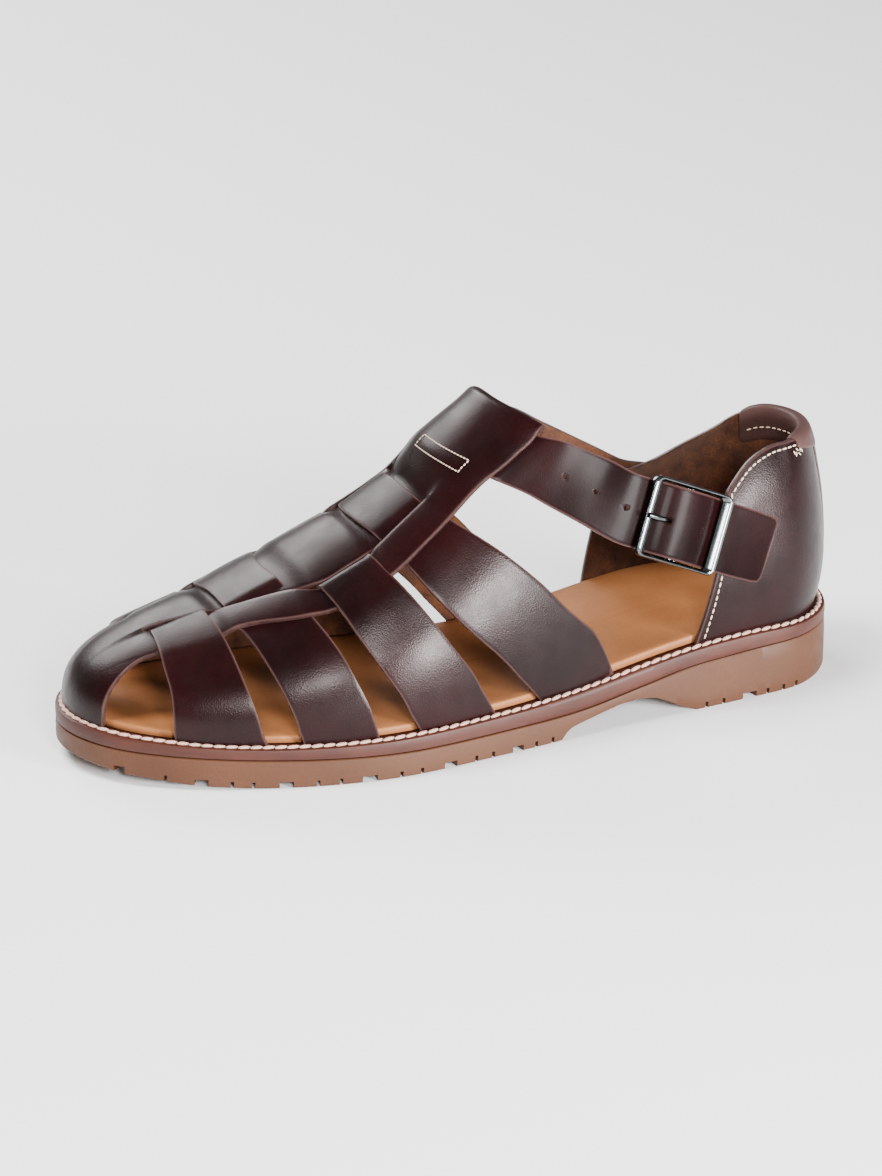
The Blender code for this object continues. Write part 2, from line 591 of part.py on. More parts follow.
def vamp_strap(index):
    """One cross strap, from the lateral to the medial edge, over and under the rails and the strand."""
    rows = np.array(STRAPS, float)
    half = rows[:, [0, 1 + 2 * index, 2 + 2 * index]]
    mirrored = half[:-1][::-1].copy()
    mirrored[:, 0] = 1 - mirrored[:, 0]
    table = np.vstack([half, mirrored])
    middle = half[-1, 1:].mean()
    near, slit_near, slit_far, far = through(CENTRE, middle)[1:5]
    reach = 0.028
    high, low = (RAISE, 0.0) if UNDER_STRAND[index] else (0.0, RAISE)
    steps = [
        (0, 0), (near - 2.2 * reach, 0), (near - 0.6 * reach, high), (slit_near - 0.3 * reach, high),
        (slit_near + 0.9 * reach, low), (slit_far - 0.9 * reach, low), (slit_far + 0.3 * reach, high),
        (far + 0.6 * reach, high), (far + 2.2 * reach, 0), (1, 0),
    ]
    sides = np.linspace(0, near - 2.2 * reach, 9)
    far_sides = np.linspace(far + 2.2 * reach, 1, 9)
    between = np.linspace(slit_near + 0.9 * reach, slit_far - 0.9 * reach, 5)[1:-1]
    centre = [*between, *(v for v, _ in steps[2:-2])]
    v = np.array(sorted([*sides, *far_sides, *centre, near + reach, far - reach]))
    edges = through(table, v)
    lift = np.interp(v, *np.array(steps).T)
    across = np.linspace(0, 1, 4)
    t = edges[:, :1] + (edges[:, 1:] - edges[:, :1]) * across
    v_grid = np.broadcast_to(v[:, None], t.shape)
    lift_grid = np.broadcast_to(lift[:, None], t.shape)
    return sheet(f"strap_{index + 1}", lifted(t, v_grid, lift_grid), lifted(t, v_grid, lift_grid + LEATHER))


def build_upper():
    upper = vamp_centre()
    table = through(CENTRE, STITCH_ROWS[0])
    v = np.linspace(0.35, 0.65, 7)
    t = np.stack([swept(row, table[0], v) for row in STITCH_ROWS])
    v = np.stack([v, v])
    seam = sheet("seam", *(lifted(t, v, np.full(t.shape, lift)) for lift in SEAM_LIFTS))
    boolean(upper, seam, "UNION")
    for index in range(4):
        boolean(upper, vamp_strap(index), "UNION")
    return tidied(upper)


def feather_side(side):
    """Arc length from the back seam, point and outward direction along one side's feather line."""
    half = FEATHER_SIDES[side]
    xy = np.c_[half[:, 1], LENGTH / 2 - half[:, 0]]
    arc = np.r_[0, np.cumsum(np.linalg.norm(np.diff(xy, axis=0), axis=1))]
    along = unit(np.gradient(xy, arc, axis=0))
    out = np.c_[-along[:, 1], along[:, 0]] * (1 if side == 0 else -1)
    return arc, half[:, 0], xy, out


def counter(side, arc, z, out):
    """A point of the heel counter: arc from the back seam, z above the welt, out from its inner face."""
    arcs, ts, xy, outward = feather_side(side)
    arc, z = np.broadcast_arrays(np.asarray(arc, float), np.asarray(z, float))
    here = np.stack([np.interp(arc, arcs, xy[:, k]) for k in (0, 1)], -1)
    direction = unit(np.stack([np.interp(arc, arcs, outward[:, k]) for k in (0, 1)], -1))
    rows = through(COUNTER, z)
    back = np.clip(direction[..., 1], 0, 1) ** 2
    offset = rows[..., 0] * back + rows[..., 1] * (1 - back) + out
    t = np.interp(arc, arcs, ts)
    return np.concatenate([here + direction * offset[..., None], (welt_top(t) + z)[..., None]], -1)


def arc_at(side, t):
    arcs, ts, _, _ = feather_side(side)
    return float(np.interp(t, ts, arcs))


def t_at(side, arc):
    arcs, ts, _, _ = feather_side(side)
    return np.interp(arc, arcs, ts)


def build_quarter(side, name, front, topline):
    """One side of the heel counter, from the back seam to its front edge."""
    top_front = topline[-1][0]
    share = np.linspace(0, 1, 15)
    rise = np.array([0, 0.12, 0.26, 0.41, 0.56, 0.71, 0.86, 1.0])
    bottom = arc_at(side, front) + (0.25 - arc_at(side, front)) * share
    top = arc_at(side, top_front) + (0.25 - arc_at(side, top_front)) * share
    height = through(topline, t_at(side, top))
    arc = bottom[:, None] + (top - bottom)[:, None] * rise
    z = GAP + (height[:, None] - GAP) * rise
    leather = material("upper_leather", LEATHER_BROWN, 0.35)
    return sheet(name, counter(side, arc, z, 0.0), counter(side, arc, z, LEATHER), leather)


def around_back(reach_lateral, reach_medial, count):
    """Places around the heel's back, from the lateral end to the medial end: side, arc."""
    signed = np.linspace(reach_lateral, -reach_medial, count)
    return [(0 if arc >= 0 else 1, abs(arc)) for arc in signed]


def topline_at(side, arc):
    return float(through((LATERAL_TOP, MEDIAL_TOP)[side], t_at(side, arc)))


def build_backstay():
    """The strip over the back seam, from the welt up to the collar."""
    places = around_back(BACKSTAY_HALF, BACKSTAY_HALF, 7)
    rise = np.linspace(0, 1, 9)
    low, high = [], []
    for share in rise:
        lows, highs = [], []
        for side, arc in places:
            z = GAP + (topline_at(side, arc) - COLLAR_OUTSIDE - 2 * GAP) * share
            lows.append(counter(side, arc, z, LEATHER + 1.5 * GAP))
            highs.append(counter(side, arc, z, LEATHER + 1.5 * GAP + BACKSTAY_THICK))
        low.append(lows)
        high.append(highs)
    sheet("backstay", np.array(low), np.array(high), material("upper_leather", LEATHER_BROWN, 0.35))


def build_collar():
    """The padded band folded over the counter's top edge: outside, over the top and down inside."""
    outside, inside = LEATHER + 1.5 * GAP, -1.5 * GAP
    wall = BACKSTAY_THICK
    rings = []
    for side, arc in around_back(*COLLAR_REACH, 19):
        top = topline_at(side, arc)
        section = [
            (outside, top - COLLAR_OUTSIDE), (outside + wall, top - COLLAR_OUTSIDE),
            (outside + wall, top + 0.4), (outside + 0.4, top + 1.7), (LEATHER / 2, top + 2.2),
            (inside - COLLAR_PAD + 0.8, top + 1.5), (inside - COLLAR_PAD, top - 0.4),
            (inside - COLLAR_PAD, top - COLLAR_INSIDE * 0.55), (inside - 1.0, top - COLLAR_INSIDE),
            (inside, top - COLLAR_INSIDE), (inside, top + 1.5 * GAP), (outside, top + 1.5 * GAP),
        ]
        rings.append([counter(side, arc, z, out) for out, z in section])
    lofted("collar", rings, material("collar_leather", LEATHER_BROWN, 0.4))


def buckle_axes():
    """The buckle's frame: its middle, along the strap, across it, and outwards."""
    sin_p, cos_p = math.sin(BUCKLE_PITCH), math.cos(BUCKLE_PITCH)
    sin_l, cos_l = math.sin(BUCKLE_LEAN), math.cos(BUCKLE_LEAN)
    middle = np.array([BUCKLE_X, LENGTH / 2 - BUCKLE_T, BUCKLE_Z])
    along = np.array([0, cos_p, -sin_p])
    outward = np.array([cos_l, sin_l * sin_p, sin_l * cos_p])
    return middle, along, np.cross(outward, along), outward


def in_buckle(u, w, h):
    middle, along, across, outward = buckle_axes()
    u, w, h = (np.asarray(a, float)[..., None] for a in (u, w, h))
    return middle + along * u + across * w + outward * h


def on_counter(side, point, out):
    """The point moved in x onto the counter's surface at the same t and height."""
    t = LENGTH / 2 - point[1]
    place = counter(side, arc_at(side, t), point[2] - welt_top(t), out)
    return np.array([place[0], point[1], point[2]])


def strap_edges():
    """The ankle strap's underside from its sewn end to its free end: top and low edge at each station."""
    def world(t, x, z):
        return np.array([x, LENGTH / 2 - t, z])

    stations = []
    for top_t, top_z, low_t, low_z in STRAP_SEWN:
        edges = [world(t, 0, z + welt_top(t)) for t, z in ((top_t, top_z), (low_t, low_z))]
        stations.append([on_counter(1, edge, LEATHER + GAP + 0.9) for edge in edges])
    stations += [[world(*row[:3]), world(*row[3:])] for row in STRAP_MEDIAL]
    top_t, low_t, sweep, lift = STRAP_IN_LOOP
    for v in STRAP_LOOP_V:
        stations.append([lifted(swept(t, sweep, v), v, lift) for t in (top_t, low_t)])
    stations += [[world(*row[:3]), world(*row[3:])] for row in STRAP_LATERAL]
    half = STRAP_WIDTH / 2
    stations += [[in_buckle(u, half, h), in_buckle(u, -half, h)] for u, h in STRAP_IN_BUCKLE]
    for u, width in FREE_END:
        edges = [in_buckle(u, width / 2, 0), in_buckle(u, -width / 2, 0)]
        stations.append([on_counter(0, edge, LEATHER + GAP + 0.6) for edge in edges])
    return np.array(stations, float)


def strap_surface(across, fine=2):
    """The strap's underside as a grid of points with its outward normals, and each row's run."""
    stations = strap_edges()
    middles = stations.mean(1)
    run = np.r_[0, np.cumsum(np.linalg.norm(np.diff(middles, axis=0), axis=1))]
    at = np.interp(np.arange(0, len(run) - 1 + 1e-9, 1 / fine), np.arange(len(run)), run)
    top, low = (through(np.c_[run, stations[:, k]], at) for k in (0, 1))
    share = np.linspace(0, 1, across)[None, :, None]
    grid = top[:, None] + (low - top)[:, None] * share
    along = np.gradient(grid, axis=0)
    cross = np.broadcast_to((low - top)[:, None], grid.shape)
    normal = unit(np.cross(cross, along))
    return grid, normal, at, run


def build_strap():
    grid, normal, at, run = strap_surface(4)
    leather = material("upper_leather", LEATHER_BROWN, 0.35)
    strap = sheet("ankle_strap", grid, grid + normal * STRAP_LEATHER, leather)
    count = len(strap_edges())
    middle_run = run[count - len(FREE_END) - 7]
    mid_line = grid.mean(1)
    mid_normal = unit(normal.mean(1))
    bm = bmesh.new()
    for hole in HOLES:
        centre = np.array([np.interp(middle_run + hole, at, mid_line[:, k]) for k in range(3)])
        ahead = np.array([np.interp(middle_run + hole + 1, at, mid_line[:, k]) for k in range(3)])
        facing = unit(np.array([np.interp(middle_run + hole, at, mid_normal[:, k]) for k in range(3)]))
        along = unit(ahead - centre)
        side = np.cross(facing, along)
        punch = bmesh.ops.create_cone(
            bm, cap_ends=True, segments=12, radius1=HOLE_RADIUS, radius2=HOLE_RADIUS, depth=10,
        )
        for vert in punch["verts"]:
            vert.co = (centre + along * vert.co.x + side * vert.co.y + facing * (vert.co.z + 1)) * MM
    boolean(strap, add_object("holes", bm), "DIFFERENCE")


def ring_frame(half_u, half_w, radius, h, corner=3):
    """A rounded rectangle of points in the buckle's frame at height h."""
    points = []
    for k, (su, sw) in enumerate(((1, 1), (-1, 1), (-1, -1), (1, -1))):
        for angle in np.linspace(0, np.pi / 2, corner) + k * np.pi / 2:
            u = su * (half_u - radius) + radius * np.cos(angle)
            w = sw * (half_w - radius) + radius * np.sin(angle)
            points.append((u, w, h))
    return in_buckle(*np.array(points).T)


def build_buckle():
    metal = material("buckle_metal", GUNMETAL, 0.25, 1.0)
    out_u, out_w = BUCKLE_LONG / 2, BUCKLE_TALL / 2
    in_u, in_w = out_u - BUCKLE_BAR, STRAP_WIDTH / 2 + BUCKLE_PLAY
    back, front = BUCKLE_H, BUCKLE_H + BUCKLE_THICK
    sections = [
        (out_u, out_w, 3.2, back), (out_u, out_w, 3.2, front - 0.9), (out_u - 1.0, out_w - 0.7, 2.6, front),
        (in_u + 0.7, in_w + 0.5, 1.7, front), (in_u, in_w, 1.3, front - 0.7), (in_u, in_w, 1.3, back),
    ]
    frame = lofted("buckle_frame", [ring_frame(*row) for row in sections], metal, closed=True)
    reach = out_w - 0.7
    angles = np.linspace(0, 2 * np.pi, 12, endpoint=False)
    round_u, round_h = np.cos(angles), np.sin(angles)
    pin = [in_buckle(PIN_RADIUS * round_u, w, PIN_H + PIN_RADIUS * round_h) for w in (-reach, reach)]
    boolean(frame, lofted("pin", pin), "UNION")
    posts = []
    _, along, across, outward = buckle_axes()
    for w in (-reach + 0.4, reach - 0.4):
        middle = in_buckle(0.0, w, (PIN_H - PIN_RADIUS + back + 1.0) / 2)
        posts.append((middle, (along, across, outward), (3.0, 1.4, back + 1.0 - PIN_H + PIN_RADIUS)))
    boolean(frame, boxes("posts", posts), "UNION")

    eye = PIN_RADIUS + GAP
    rod = [(-2.1, PIN_H + 0.5), (-4.6, 1.4), (-7.2, 3.7), (-10, 5.9), (-12.6, 7.0), (-17.3, 7.0)]
    band = [(eye, -1.2), (eye + 0.9, -1.2), (eye + 0.9, 1.2), (eye, 1.2)]
    ring_path = [
        [in_buckle(r * np.cos(a), w, PIN_H + r * np.sin(a)) for r, w in band]
        for a in np.linspace(0, 2 * np.pi, 14, endpoint=False)
    ]
    prong = lofted("buckle_prong", ring_path, metal, closed=True)
    centres = np.array(rod)
    heading = unit(np.gradient(centres, axis=0))
    turn = np.linspace(0, 2 * np.pi, 8, endpoint=False)
    rings = []
    for (u, h), (du, dh) in zip(centres, heading):
        side = PRONG_RADIUS * np.cos(turn)
        lift = PRONG_RADIUS * np.sin(turn)
        rings.append(in_buckle(u - dh * lift, side, h + du * lift))
    boolean(prong, lofted("prong_rod", rings), "UNION")

    hide = material("upper_leather", LEATHER_BROWN, 0.35)
    outer = eye + CHAPE_THICK
    _, along, across, outward = buckle_axes()
    round_part = [(outer * math.cos(a), PIN_H + outer * math.sin(a)) for a in np.radians(range(60, 301, 24))]
    tail = [(u, h - 2 * CHAPE_THICK) for u, h in CHAPE_TAIL] + CHAPE_TAIL[::-1]
    profile = [*round_part, (6, -3.9), *tail, (5, -0.6)]
    rings = [in_buckle(*np.array([(u, w, h) for u, h in profile]).T) for w in (-CHAPE_HALF, CHAPE_HALF)]
    chape = lofted("buckle_chape", rings, hide)
    mouths = (-CHAPE_HALF - 1, CHAPE_HALF + 1)
    bore = [in_buckle(eye * round_u, w, PIN_H + eye * round_h) for w in mouths]
    boolean(chape, lofted("bore", bore), "DIFFERENCE")
    slot = (in_buckle(-2.0, 0.0, 1.0), (along, across, outward), (9.0, 3.2, 9.0))
    boolean(chape, boxes("slot", [slot]), "DIFFERENCE")


def main():
    for item in list(bpy.data.objects):
        bpy.data.objects.remove(item)
    build_sole()
    build_upper()
    build_quarter(0, "quarter_lateral", LATERAL_FRONT, LATERAL_TOP)
    build_quarter(1, "quarter_medial", MEDIAL_FRONT, MEDIAL_TOP)
    build_backstay()
    build_collar()
    build_strap()
    build_buckle()


main()
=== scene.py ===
# %% [markdown]
# # A fisherman sandal in dark leather
#
# This lesson dresses the plain solids of a left shoe with finely shaped leather, thread, rubber and metal.
# Every piece starts flat or as a simple ring, as it does on a shoemaker's bench, and is then laid in place.

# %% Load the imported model
import math

import bmesh
import bpy
import numpy as np
from mathutils import Matrix, Vector, kdtree


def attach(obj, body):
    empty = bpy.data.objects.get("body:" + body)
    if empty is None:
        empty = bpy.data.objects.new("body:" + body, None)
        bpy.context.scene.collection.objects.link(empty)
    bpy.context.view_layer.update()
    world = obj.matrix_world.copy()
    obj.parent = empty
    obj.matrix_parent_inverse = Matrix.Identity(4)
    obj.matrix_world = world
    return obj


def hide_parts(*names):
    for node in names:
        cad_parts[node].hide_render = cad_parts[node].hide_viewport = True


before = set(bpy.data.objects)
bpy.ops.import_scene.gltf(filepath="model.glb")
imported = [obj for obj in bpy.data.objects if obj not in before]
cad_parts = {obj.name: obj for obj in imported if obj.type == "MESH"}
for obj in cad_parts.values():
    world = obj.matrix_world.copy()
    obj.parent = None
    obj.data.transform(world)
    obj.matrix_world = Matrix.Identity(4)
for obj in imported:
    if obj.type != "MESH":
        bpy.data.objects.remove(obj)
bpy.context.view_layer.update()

print("solids:", ", ".join(sorted(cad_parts)))

# %% [markdown]
# ## The sizes
#
# A shoe is built round a last, the form that gives it the shape of a foot. Lengths are in millimetres:
# t runs from the heel's back to the toe, x points to the outer side, and z is the height above the floor.

# %% Sizes of the sole and the last
MM = 0.001
GAP = 0.3  # what neighbouring pieces keep between them
LENGTH = 298.0

# The sole's outline: t, x
OUTLINE = [
    (0, 0), (6, 21), (22, 35.5), (50, 40.5), (100, 44.5), (150, 51.5), (195, 55), (235, 47),
    (270, 32), (290, 15.5), (298, -6), (291, -27.5), (270, -41.5), (235, -47.5), (200, -46),
    (160, -39.5), (120, -34), (80, -34), (50, -36), (22, -33), (6, -20),
]
# Heights along the sole: t, z
WELT_TOP = [(0, 24.2), (60, 24.6), (120, 16.8), (190, 14.5), (250, 15.4), (298, 19.5)]
OUTSOLE_TOP = [
    (0, 19.5), (50, 18.6), (72, 17.2), (92, 13.6), (112, 10.3), (150, 9.0), (185, 9.0),
    (230, 10.2), (271, 12.2), (298, 13.8),
]
TREAD = [
    (0, 0.6), (6, 0), (40, 0), (69.5, 0), (71, 0.8), (76, 2.5), (80.5, 5.0), (86.5, 8.0), (93, 9.0),
    (101.5, 8.5), (110, 6.8), (121, 4.4), (124, 3.2), (126.5, 0), (160, 0), (200, 0), (228, 0),
    (245, 0.4), (263, 1.6), (281, 3.8), (298, 6.6),
]
FOOTBED = [(0, 0.4), (40, 1.0), (75, 2.6), (110, 2.2), (150, 0.8), (200, 0.2), (298, 0)]
# The last: t, crest height above the welt, ridge x, roundness of the section, tuck angle
LAST = [
    (0, 300, 1, 2.0, 6), (80, 300, 1, 2.0, 6), (92, 235, 1, 2.0, 6), (102, 166, 1, 2.0, 7),
    (111, 135, 1, 2.0, 8), (122, 110.5, 0, 2.0, 9), (134, 98.5, 0, 2.05, 10),
    (146, 90, 0, 2.1, 11), (160, 79.5, -1, 2.15, 12), (180, 66, -3, 2.2, 13),
    (200, 54.6, -5, 2.25, 14), (220, 45.2, -7, 2.3, 15), (240, 36, -8, 2.3, 16),
    (255, 30.3, -8, 2.3, 17), (293, 26, -7, 2.3, 20),
]
WIDEST = 0.16  # the last is widest at this share of its height
TOE_START = 250.0  # from here to the tip the crest comes down in an arc
TOE_POWER = 2.3

# %% [markdown]
# ## Curves
#
# The tables hold only a few points. A smooth curve through them gives every value between, and the sole's
# closed outline can be moved inwards, as a maker does with a pair of dividers.

# %% Curves through tables, and the outline
def through(rows, at):
    """A smooth curve through the rows, whose first column is the key."""
    rows = np.asarray(rows, float)
    key, value = rows[:, 0], rows[:, 1:]
    slope = np.gradient(value, key, axis=0)
    at = np.clip(np.asarray(at, float), key[0], key[-1])
    i = np.clip(np.searchsorted(key, at) - 1, 0, len(key) - 2)
    step = (key[i + 1] - key[i])[..., None]
    u = (at - key[i])[..., None] / step
    start = (1 + 2 * u) * (1 - u) ** 2 * value[i] + u * (1 - u) ** 2 * step * slope[i]
    end = u * u * (3 - 2 * u) * value[i + 1] + u * u * (u - 1) * step * slope[i + 1]
    return (start + end)[..., 0] if value.shape[1] == 1 else start + end


def eased(rows, at, column=1):
    """A smooth curve through one column that never swings past the rows' own values."""
    rows = np.asarray(rows, float)
    key, value = rows[:, 0], rows[:, column]
    rise = np.diff(value) / np.diff(key)
    level = rise[:-1] * rise[1:] <= 0
    both = np.where(level, 1.0, rise[:-1] + rise[1:])
    slope = np.r_[0, np.where(level, 0, 2 * rise[:-1] * rise[1:] / both), 0]
    at = np.clip(np.asarray(at, float), key[0], key[-1])
    i = np.clip(np.searchsorted(key, at) - 1, 0, len(key) - 2)
    step = key[i + 1] - key[i]
    u = (at - key[i]) / step
    start = (1 + 2 * u) * (1 - u) ** 2 * value[i] + u * (1 - u) ** 2 * step * slope[i]
    return start + u * u * (3 - 2 * u) * value[i + 1] + u * u * (u - 1) * step * slope[i + 1]


def closed_curve(points, count=480):
    """A smooth closed line through a few points."""
    p = np.asarray(points, float)
    wrapped = np.vstack([p[-3:], p, p[:4]])
    chord = np.linalg.norm(np.diff(wrapped, axis=0), axis=1) ** 0.5
    key = np.r_[0, np.cumsum(chord)]
    return through(np.c_[key, wrapped], np.linspace(key[3], key[len(p) + 3], count, endpoint=False))


def inset(line, distance):
    """The closed line moved inwards, by one distance or by one for each point."""
    along = np.roll(line, -1, 0) - np.roll(line, 1, 0)
    along /= np.linalg.norm(along, axis=1)[:, None]
    return line + distance * np.c_[along[:, 1], -along[:, 0]]


def two_sides(line):
    """The line's outer and inner halves, each from the heel's back to the toe."""
    back, toe = line[:, 0].argmin(), line[:, 0].argmax()
    turned = np.roll(line, -back, 0)
    count = (toe - back) % len(line)
    first, second = turned[: count + 1], np.vstack([turned[count:], turned[:1]])[::-1]
    halves = (first, second) if first[:, 1].mean() > second[:, 1].mean() else (second, first)
    return [half[np.r_[True, np.diff(np.maximum.accumulate(half[:, 0])) > 1e-6]] for half in halves]


def sides_at(sides, t):
    """The outer and the inner side's x at t."""
    return [np.interp(t, side[:, 0], side[:, 1]) for side in sides]


EDGE = closed_curve(OUTLINE)
EDGE_SIDES = two_sides(EDGE)
FEATHER = inset(EDGE, 5.0)  # where the upper meets the sole
FEATHER_SIDES = two_sides(FEATHER)
T_TIP = FEATHER[:, 0].max()
print(f"outline: {len(EDGE)} points, {np.ptp(EDGE[:, 1]):.1f} mm wide")

# %% [markdown]
# ## The last as a map
#
# A place on the last has two numbers: t along it, and v across it, from 0 at the outer edge of the sole,
# over the top, to 1 at the inner edge. A third, the lift, raises leather that passes over another layer.

# %% Places on the last
def unit(vectors):
    return vectors / np.linalg.norm(vectors, axis=-1)[..., None]


def laid(place, axes):
    """The move and turn that lay a shape's x, y and z along three directions at a place in millimetres."""
    turn = Matrix([[float(part) for part in axis] for axis in axes]).transposed().to_4x4()
    return Matrix.Translation(Vector(place) * MM) @ turn


def welt_top(t):
    return through(WELT_TOP, t)


def last(t, v):
    """The place on the last at t and v."""
    t, v = np.broadcast_arrays(np.asarray(t, float), np.asarray(v, float))
    rows = through(LAST, t)
    share = np.clip((t - TOE_START) / (T_TIP - TOE_START), 0, 1)
    height = rows[..., 0] * (1 - share**TOE_POWER) ** (1 / TOE_POWER)
    ridge, power, tuck = rows[..., 1], rows[..., 2], np.radians(rows[..., 3])
    angle = -tuck + v * (np.pi + 2 * tuck)
    c, s = np.cos(angle), np.sin(angle)
    lateral, medial = sides_at(FEATHER_SIDES, t)
    wide = np.where(c > 0, lateral - ridge, ridge - medial) / np.cos(tuck) ** (2 / power)
    x = ridge + wide * np.sign(c) * np.abs(c) ** (2 / power)
    widest = height * WIDEST
    above = widest + (height - widest) * np.abs(s) ** (2 / power)
    below = widest * (1 - np.abs(s) ** (2 / power) / np.sin(tuck) ** (2 / power))
    return np.stack([x, LENGTH / 2 - t, welt_top(t) + np.where(s >= 0, above, below)], -1)


def last_frame(t, v):
    """A point of the last, its outward normal and its direction towards the heel."""
    t, v = np.minimum(np.asarray(t, float), T_TIP - 0.05), np.asarray(v, float)
    along = last(t - 0.4, v) - last(np.minimum(t + 0.4, T_TIP - 0.01), v)
    across = last(t, v + 0.004) - last(t, v - 0.004)
    return last(t, v), unit(np.cross(along, across)), unit(along)


def lifted(t, v, lift):
    """The last's surface raised along its normal, and kept just above the welt."""
    t, v = np.broadcast_arrays(np.asarray(t, float), np.asarray(v, float))
    point, normal, _ = last_frame(t, v)
    point = point + normal * np.broadcast_to(lift, t.shape)[..., None]
    floor = welt_top(LENGTH / 2 - point[..., 1]) + GAP
    point[..., 2] = np.maximum(point[..., 2], floor)
    return point


print("top of the last at the tongue:", last(160, 0.5).round(1))

# %% [markdown]
# ## Making pieces
#
# A sheet of leather starts as a flat grid. Cells that the pattern leaves out are deleted, the grid is laid on
# its inner face, and one extrusion gives the wall. How far a point lies from a cut edge is kept with it,
# so the finish can paint the edges lighter: partly their burnish, partly a painted highlight where they catch
# the light. A bevel rounds the cut.

# %% Helpers that make sheets and lofts
def add_piece(name, bm, finishes, replaces=(), slot=None, bevel=0.0, segments=2, angle=40, sharp=38):
    """Turns a bmesh into a finished object that rides on the shoe."""
    bmesh.ops.remove_doubles(bm, verts=bm.verts, dist=1e-6)
    bmesh.ops.recalc_face_normals(bm, faces=bm.faces)
    mesh = bpy.data.meshes.new(name)
    bm.to_mesh(mesh)
    bm.free()
    piece = bpy.data.objects.new(name, mesh)
    bpy.context.collection.objects.link(piece)
    for finish in finishes:
        mesh.materials.append(finish)
    mesh.shade_smooth()
    if bevel:
        rounding = piece.modifiers.new("rounded edges", "BEVEL")
        rounding.width = bevel * MM
        rounding.segments = segments
        rounding.limit_method = "ANGLE"
        rounding.angle_limit = math.radians(angle)
    elif sharp:
        mesh.set_sharp_from_angle(angle=math.radians(sharp))
    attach(piece, "root")
    if replaces:
        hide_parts(*replaces)
    print(f"{name}: {len(mesh.polygons)} faces")
    return piece


def mark_edges(bm):
    """Keeps every point's distance from the sheet's cut edges, in millimetres."""
    edge = bm.verts.layers.float.new("edge")
    rim = [vert.co.copy() for vert in bm.verts if vert.is_boundary]
    tree = kdtree.KDTree(len(rim))
    for i, place in enumerate(rim):
        tree.insert(place, i)
    tree.balance()
    for vert in bm.verts:
        vert[edge] = tree.find(vert.co)[2] / MM


def sheet(name, low, high, finishes, keep=None, **options):
    """A leather piece between two grids of places, with finishes for its outer face, inner face and cut."""
    rows, columns = low.shape[:2]
    bm = bmesh.new()
    bmesh.ops.create_grid(bm, x_segments=columns - 1, y_segments=rows - 1, size=0.5)
    bmesh.ops.scale(bm, vec=(columns - 1, rows - 1, 1), verts=bm.verts)
    bmesh.ops.translate(bm, vec=((columns - 1) / 2, (rows - 1) / 2, 0), verts=bm.verts)
    if keep is not None:
        cells = [(face, face.calc_center_median()) for face in bm.faces]
        spare = [face for face, middle in cells if not keep[int(middle.y), int(middle.x)]]
        bmesh.ops.delete(bm, geom=spare, context="FACES")
    number = bm.verts.layers.int.new("number")
    inner, outer = low.reshape(-1, 3) * MM, high.reshape(-1, 3) * MM
    for vert in bm.verts:
        vert[number] = round(vert.co.y) * columns + round(vert.co.x)
        vert.co = inner[vert[number]]
    mark_edges(bm)
    wall = bmesh.ops.extrude_face_region(bm, geom=bm.faces[:], use_keep_orig=True)["geom"]
    raised = {item for item in wall if isinstance(item, bmesh.types.BMVert)}
    for vert in raised:
        vert.co = outer[vert[number]]
    for face in bm.faces:
        count = sum(vert in raised for vert in face.verts)
        face.material_index = 0 if count == len(face.verts) else 2 if count else 1
    return add_piece(name, bm, finishes, **options)


def loft(rings, closed=False):
    """A skin through rings of places: a circle laid on the first one, then extruded from ring to ring."""
    bm = bmesh.new()
    number = bm.verts.layers.int.new("number")
    bmesh.ops.create_circle(bm, segments=len(rings[0]), radius=1)
    bm.verts.ensure_lookup_table()
    for i, vert in enumerate(bm.verts):
        vert[number] = i
        vert.co = Vector(rings[0][i]) * MM
    first = bm.edges[:]
    loop = first
    for ring in rings[1:]:
        made = bmesh.ops.extrude_edge_only(bm, edges=loop)["geom"]
        fresh = {item for item in made if isinstance(item, bmesh.types.BMVert)}
        for vert in fresh:
            vert.co = Vector(ring[vert[number]]) * MM
        loop = [item for item in made if isinstance(item, bmesh.types.BMEdge) and set(item.verts) <= fresh]
    if closed:
        bmesh.ops.bridge_loops(bm, edges=first + loop)
    else:
        for ends in (first, loop):
            bmesh.ops.edgeloop_fill(bm, edges=ends)
    return bm


def joined(parts):
    """One bmesh out of several."""
    whole = bmesh.new()
    for part in parts:
        mesh = bpy.data.meshes.new("part")
        part.to_mesh(mesh)
        part.free()
        whole.from_mesh(mesh)
        bpy.data.meshes.remove(mesh)
    return whole


def cut(target, tool):
    """Cuts the tool's shape out of a piece and removes the tool."""
    mesh = bpy.data.meshes.new("cutter")
    bmesh.ops.recalc_face_normals(tool, faces=tool.faces)
    tool.to_mesh(mesh)
    tool.free()
    cutter = bpy.data.objects.new("cutter", mesh)
    bpy.context.collection.objects.link(cutter)
    step = target.modifiers.new("cut", "BOOLEAN")
    step.operation, step.object, step.solver = "DIFFERENCE", cutter, "EXACT"
    rest = [other for other in target.modifiers if other != step]
    for other in rest:
        other.show_viewport = False
    graph = bpy.context.evaluated_depsgraph_get()
    done = bpy.data.meshes.new_from_object(target.evaluated_get(graph))
    target.modifiers.remove(step)
    for other in rest:
        other.show_viewport = True
    target.data = done
    done.name = target.name
    bpy.data.objects.remove(cutter)


# %% [markdown]
# ## Finishes
#
# Real leather is never one flat colour. Dye settles unevenly, the grain breaks up the shine, and cut edges
# are burnished; the light line beside them is partly that and partly a painted highlight. Each finish below
# mixes soft noise into the colour and adds a fine bump.

# %% Node helpers
def new_finish(name, **sockets):
    """A material and its shader. Values that are the same all over are set on the shader's own sockets."""
    made = bpy.data.materials.new(name)
    made.use_nodes = True
    shader = made.node_tree.nodes["Principled BSDF"]
    for socket, value in sockets.items():
        shader.inputs[socket.replace("_", " ").title().replace("Ior", "IOR")].default_value = value
    return made, made.node_tree, shader


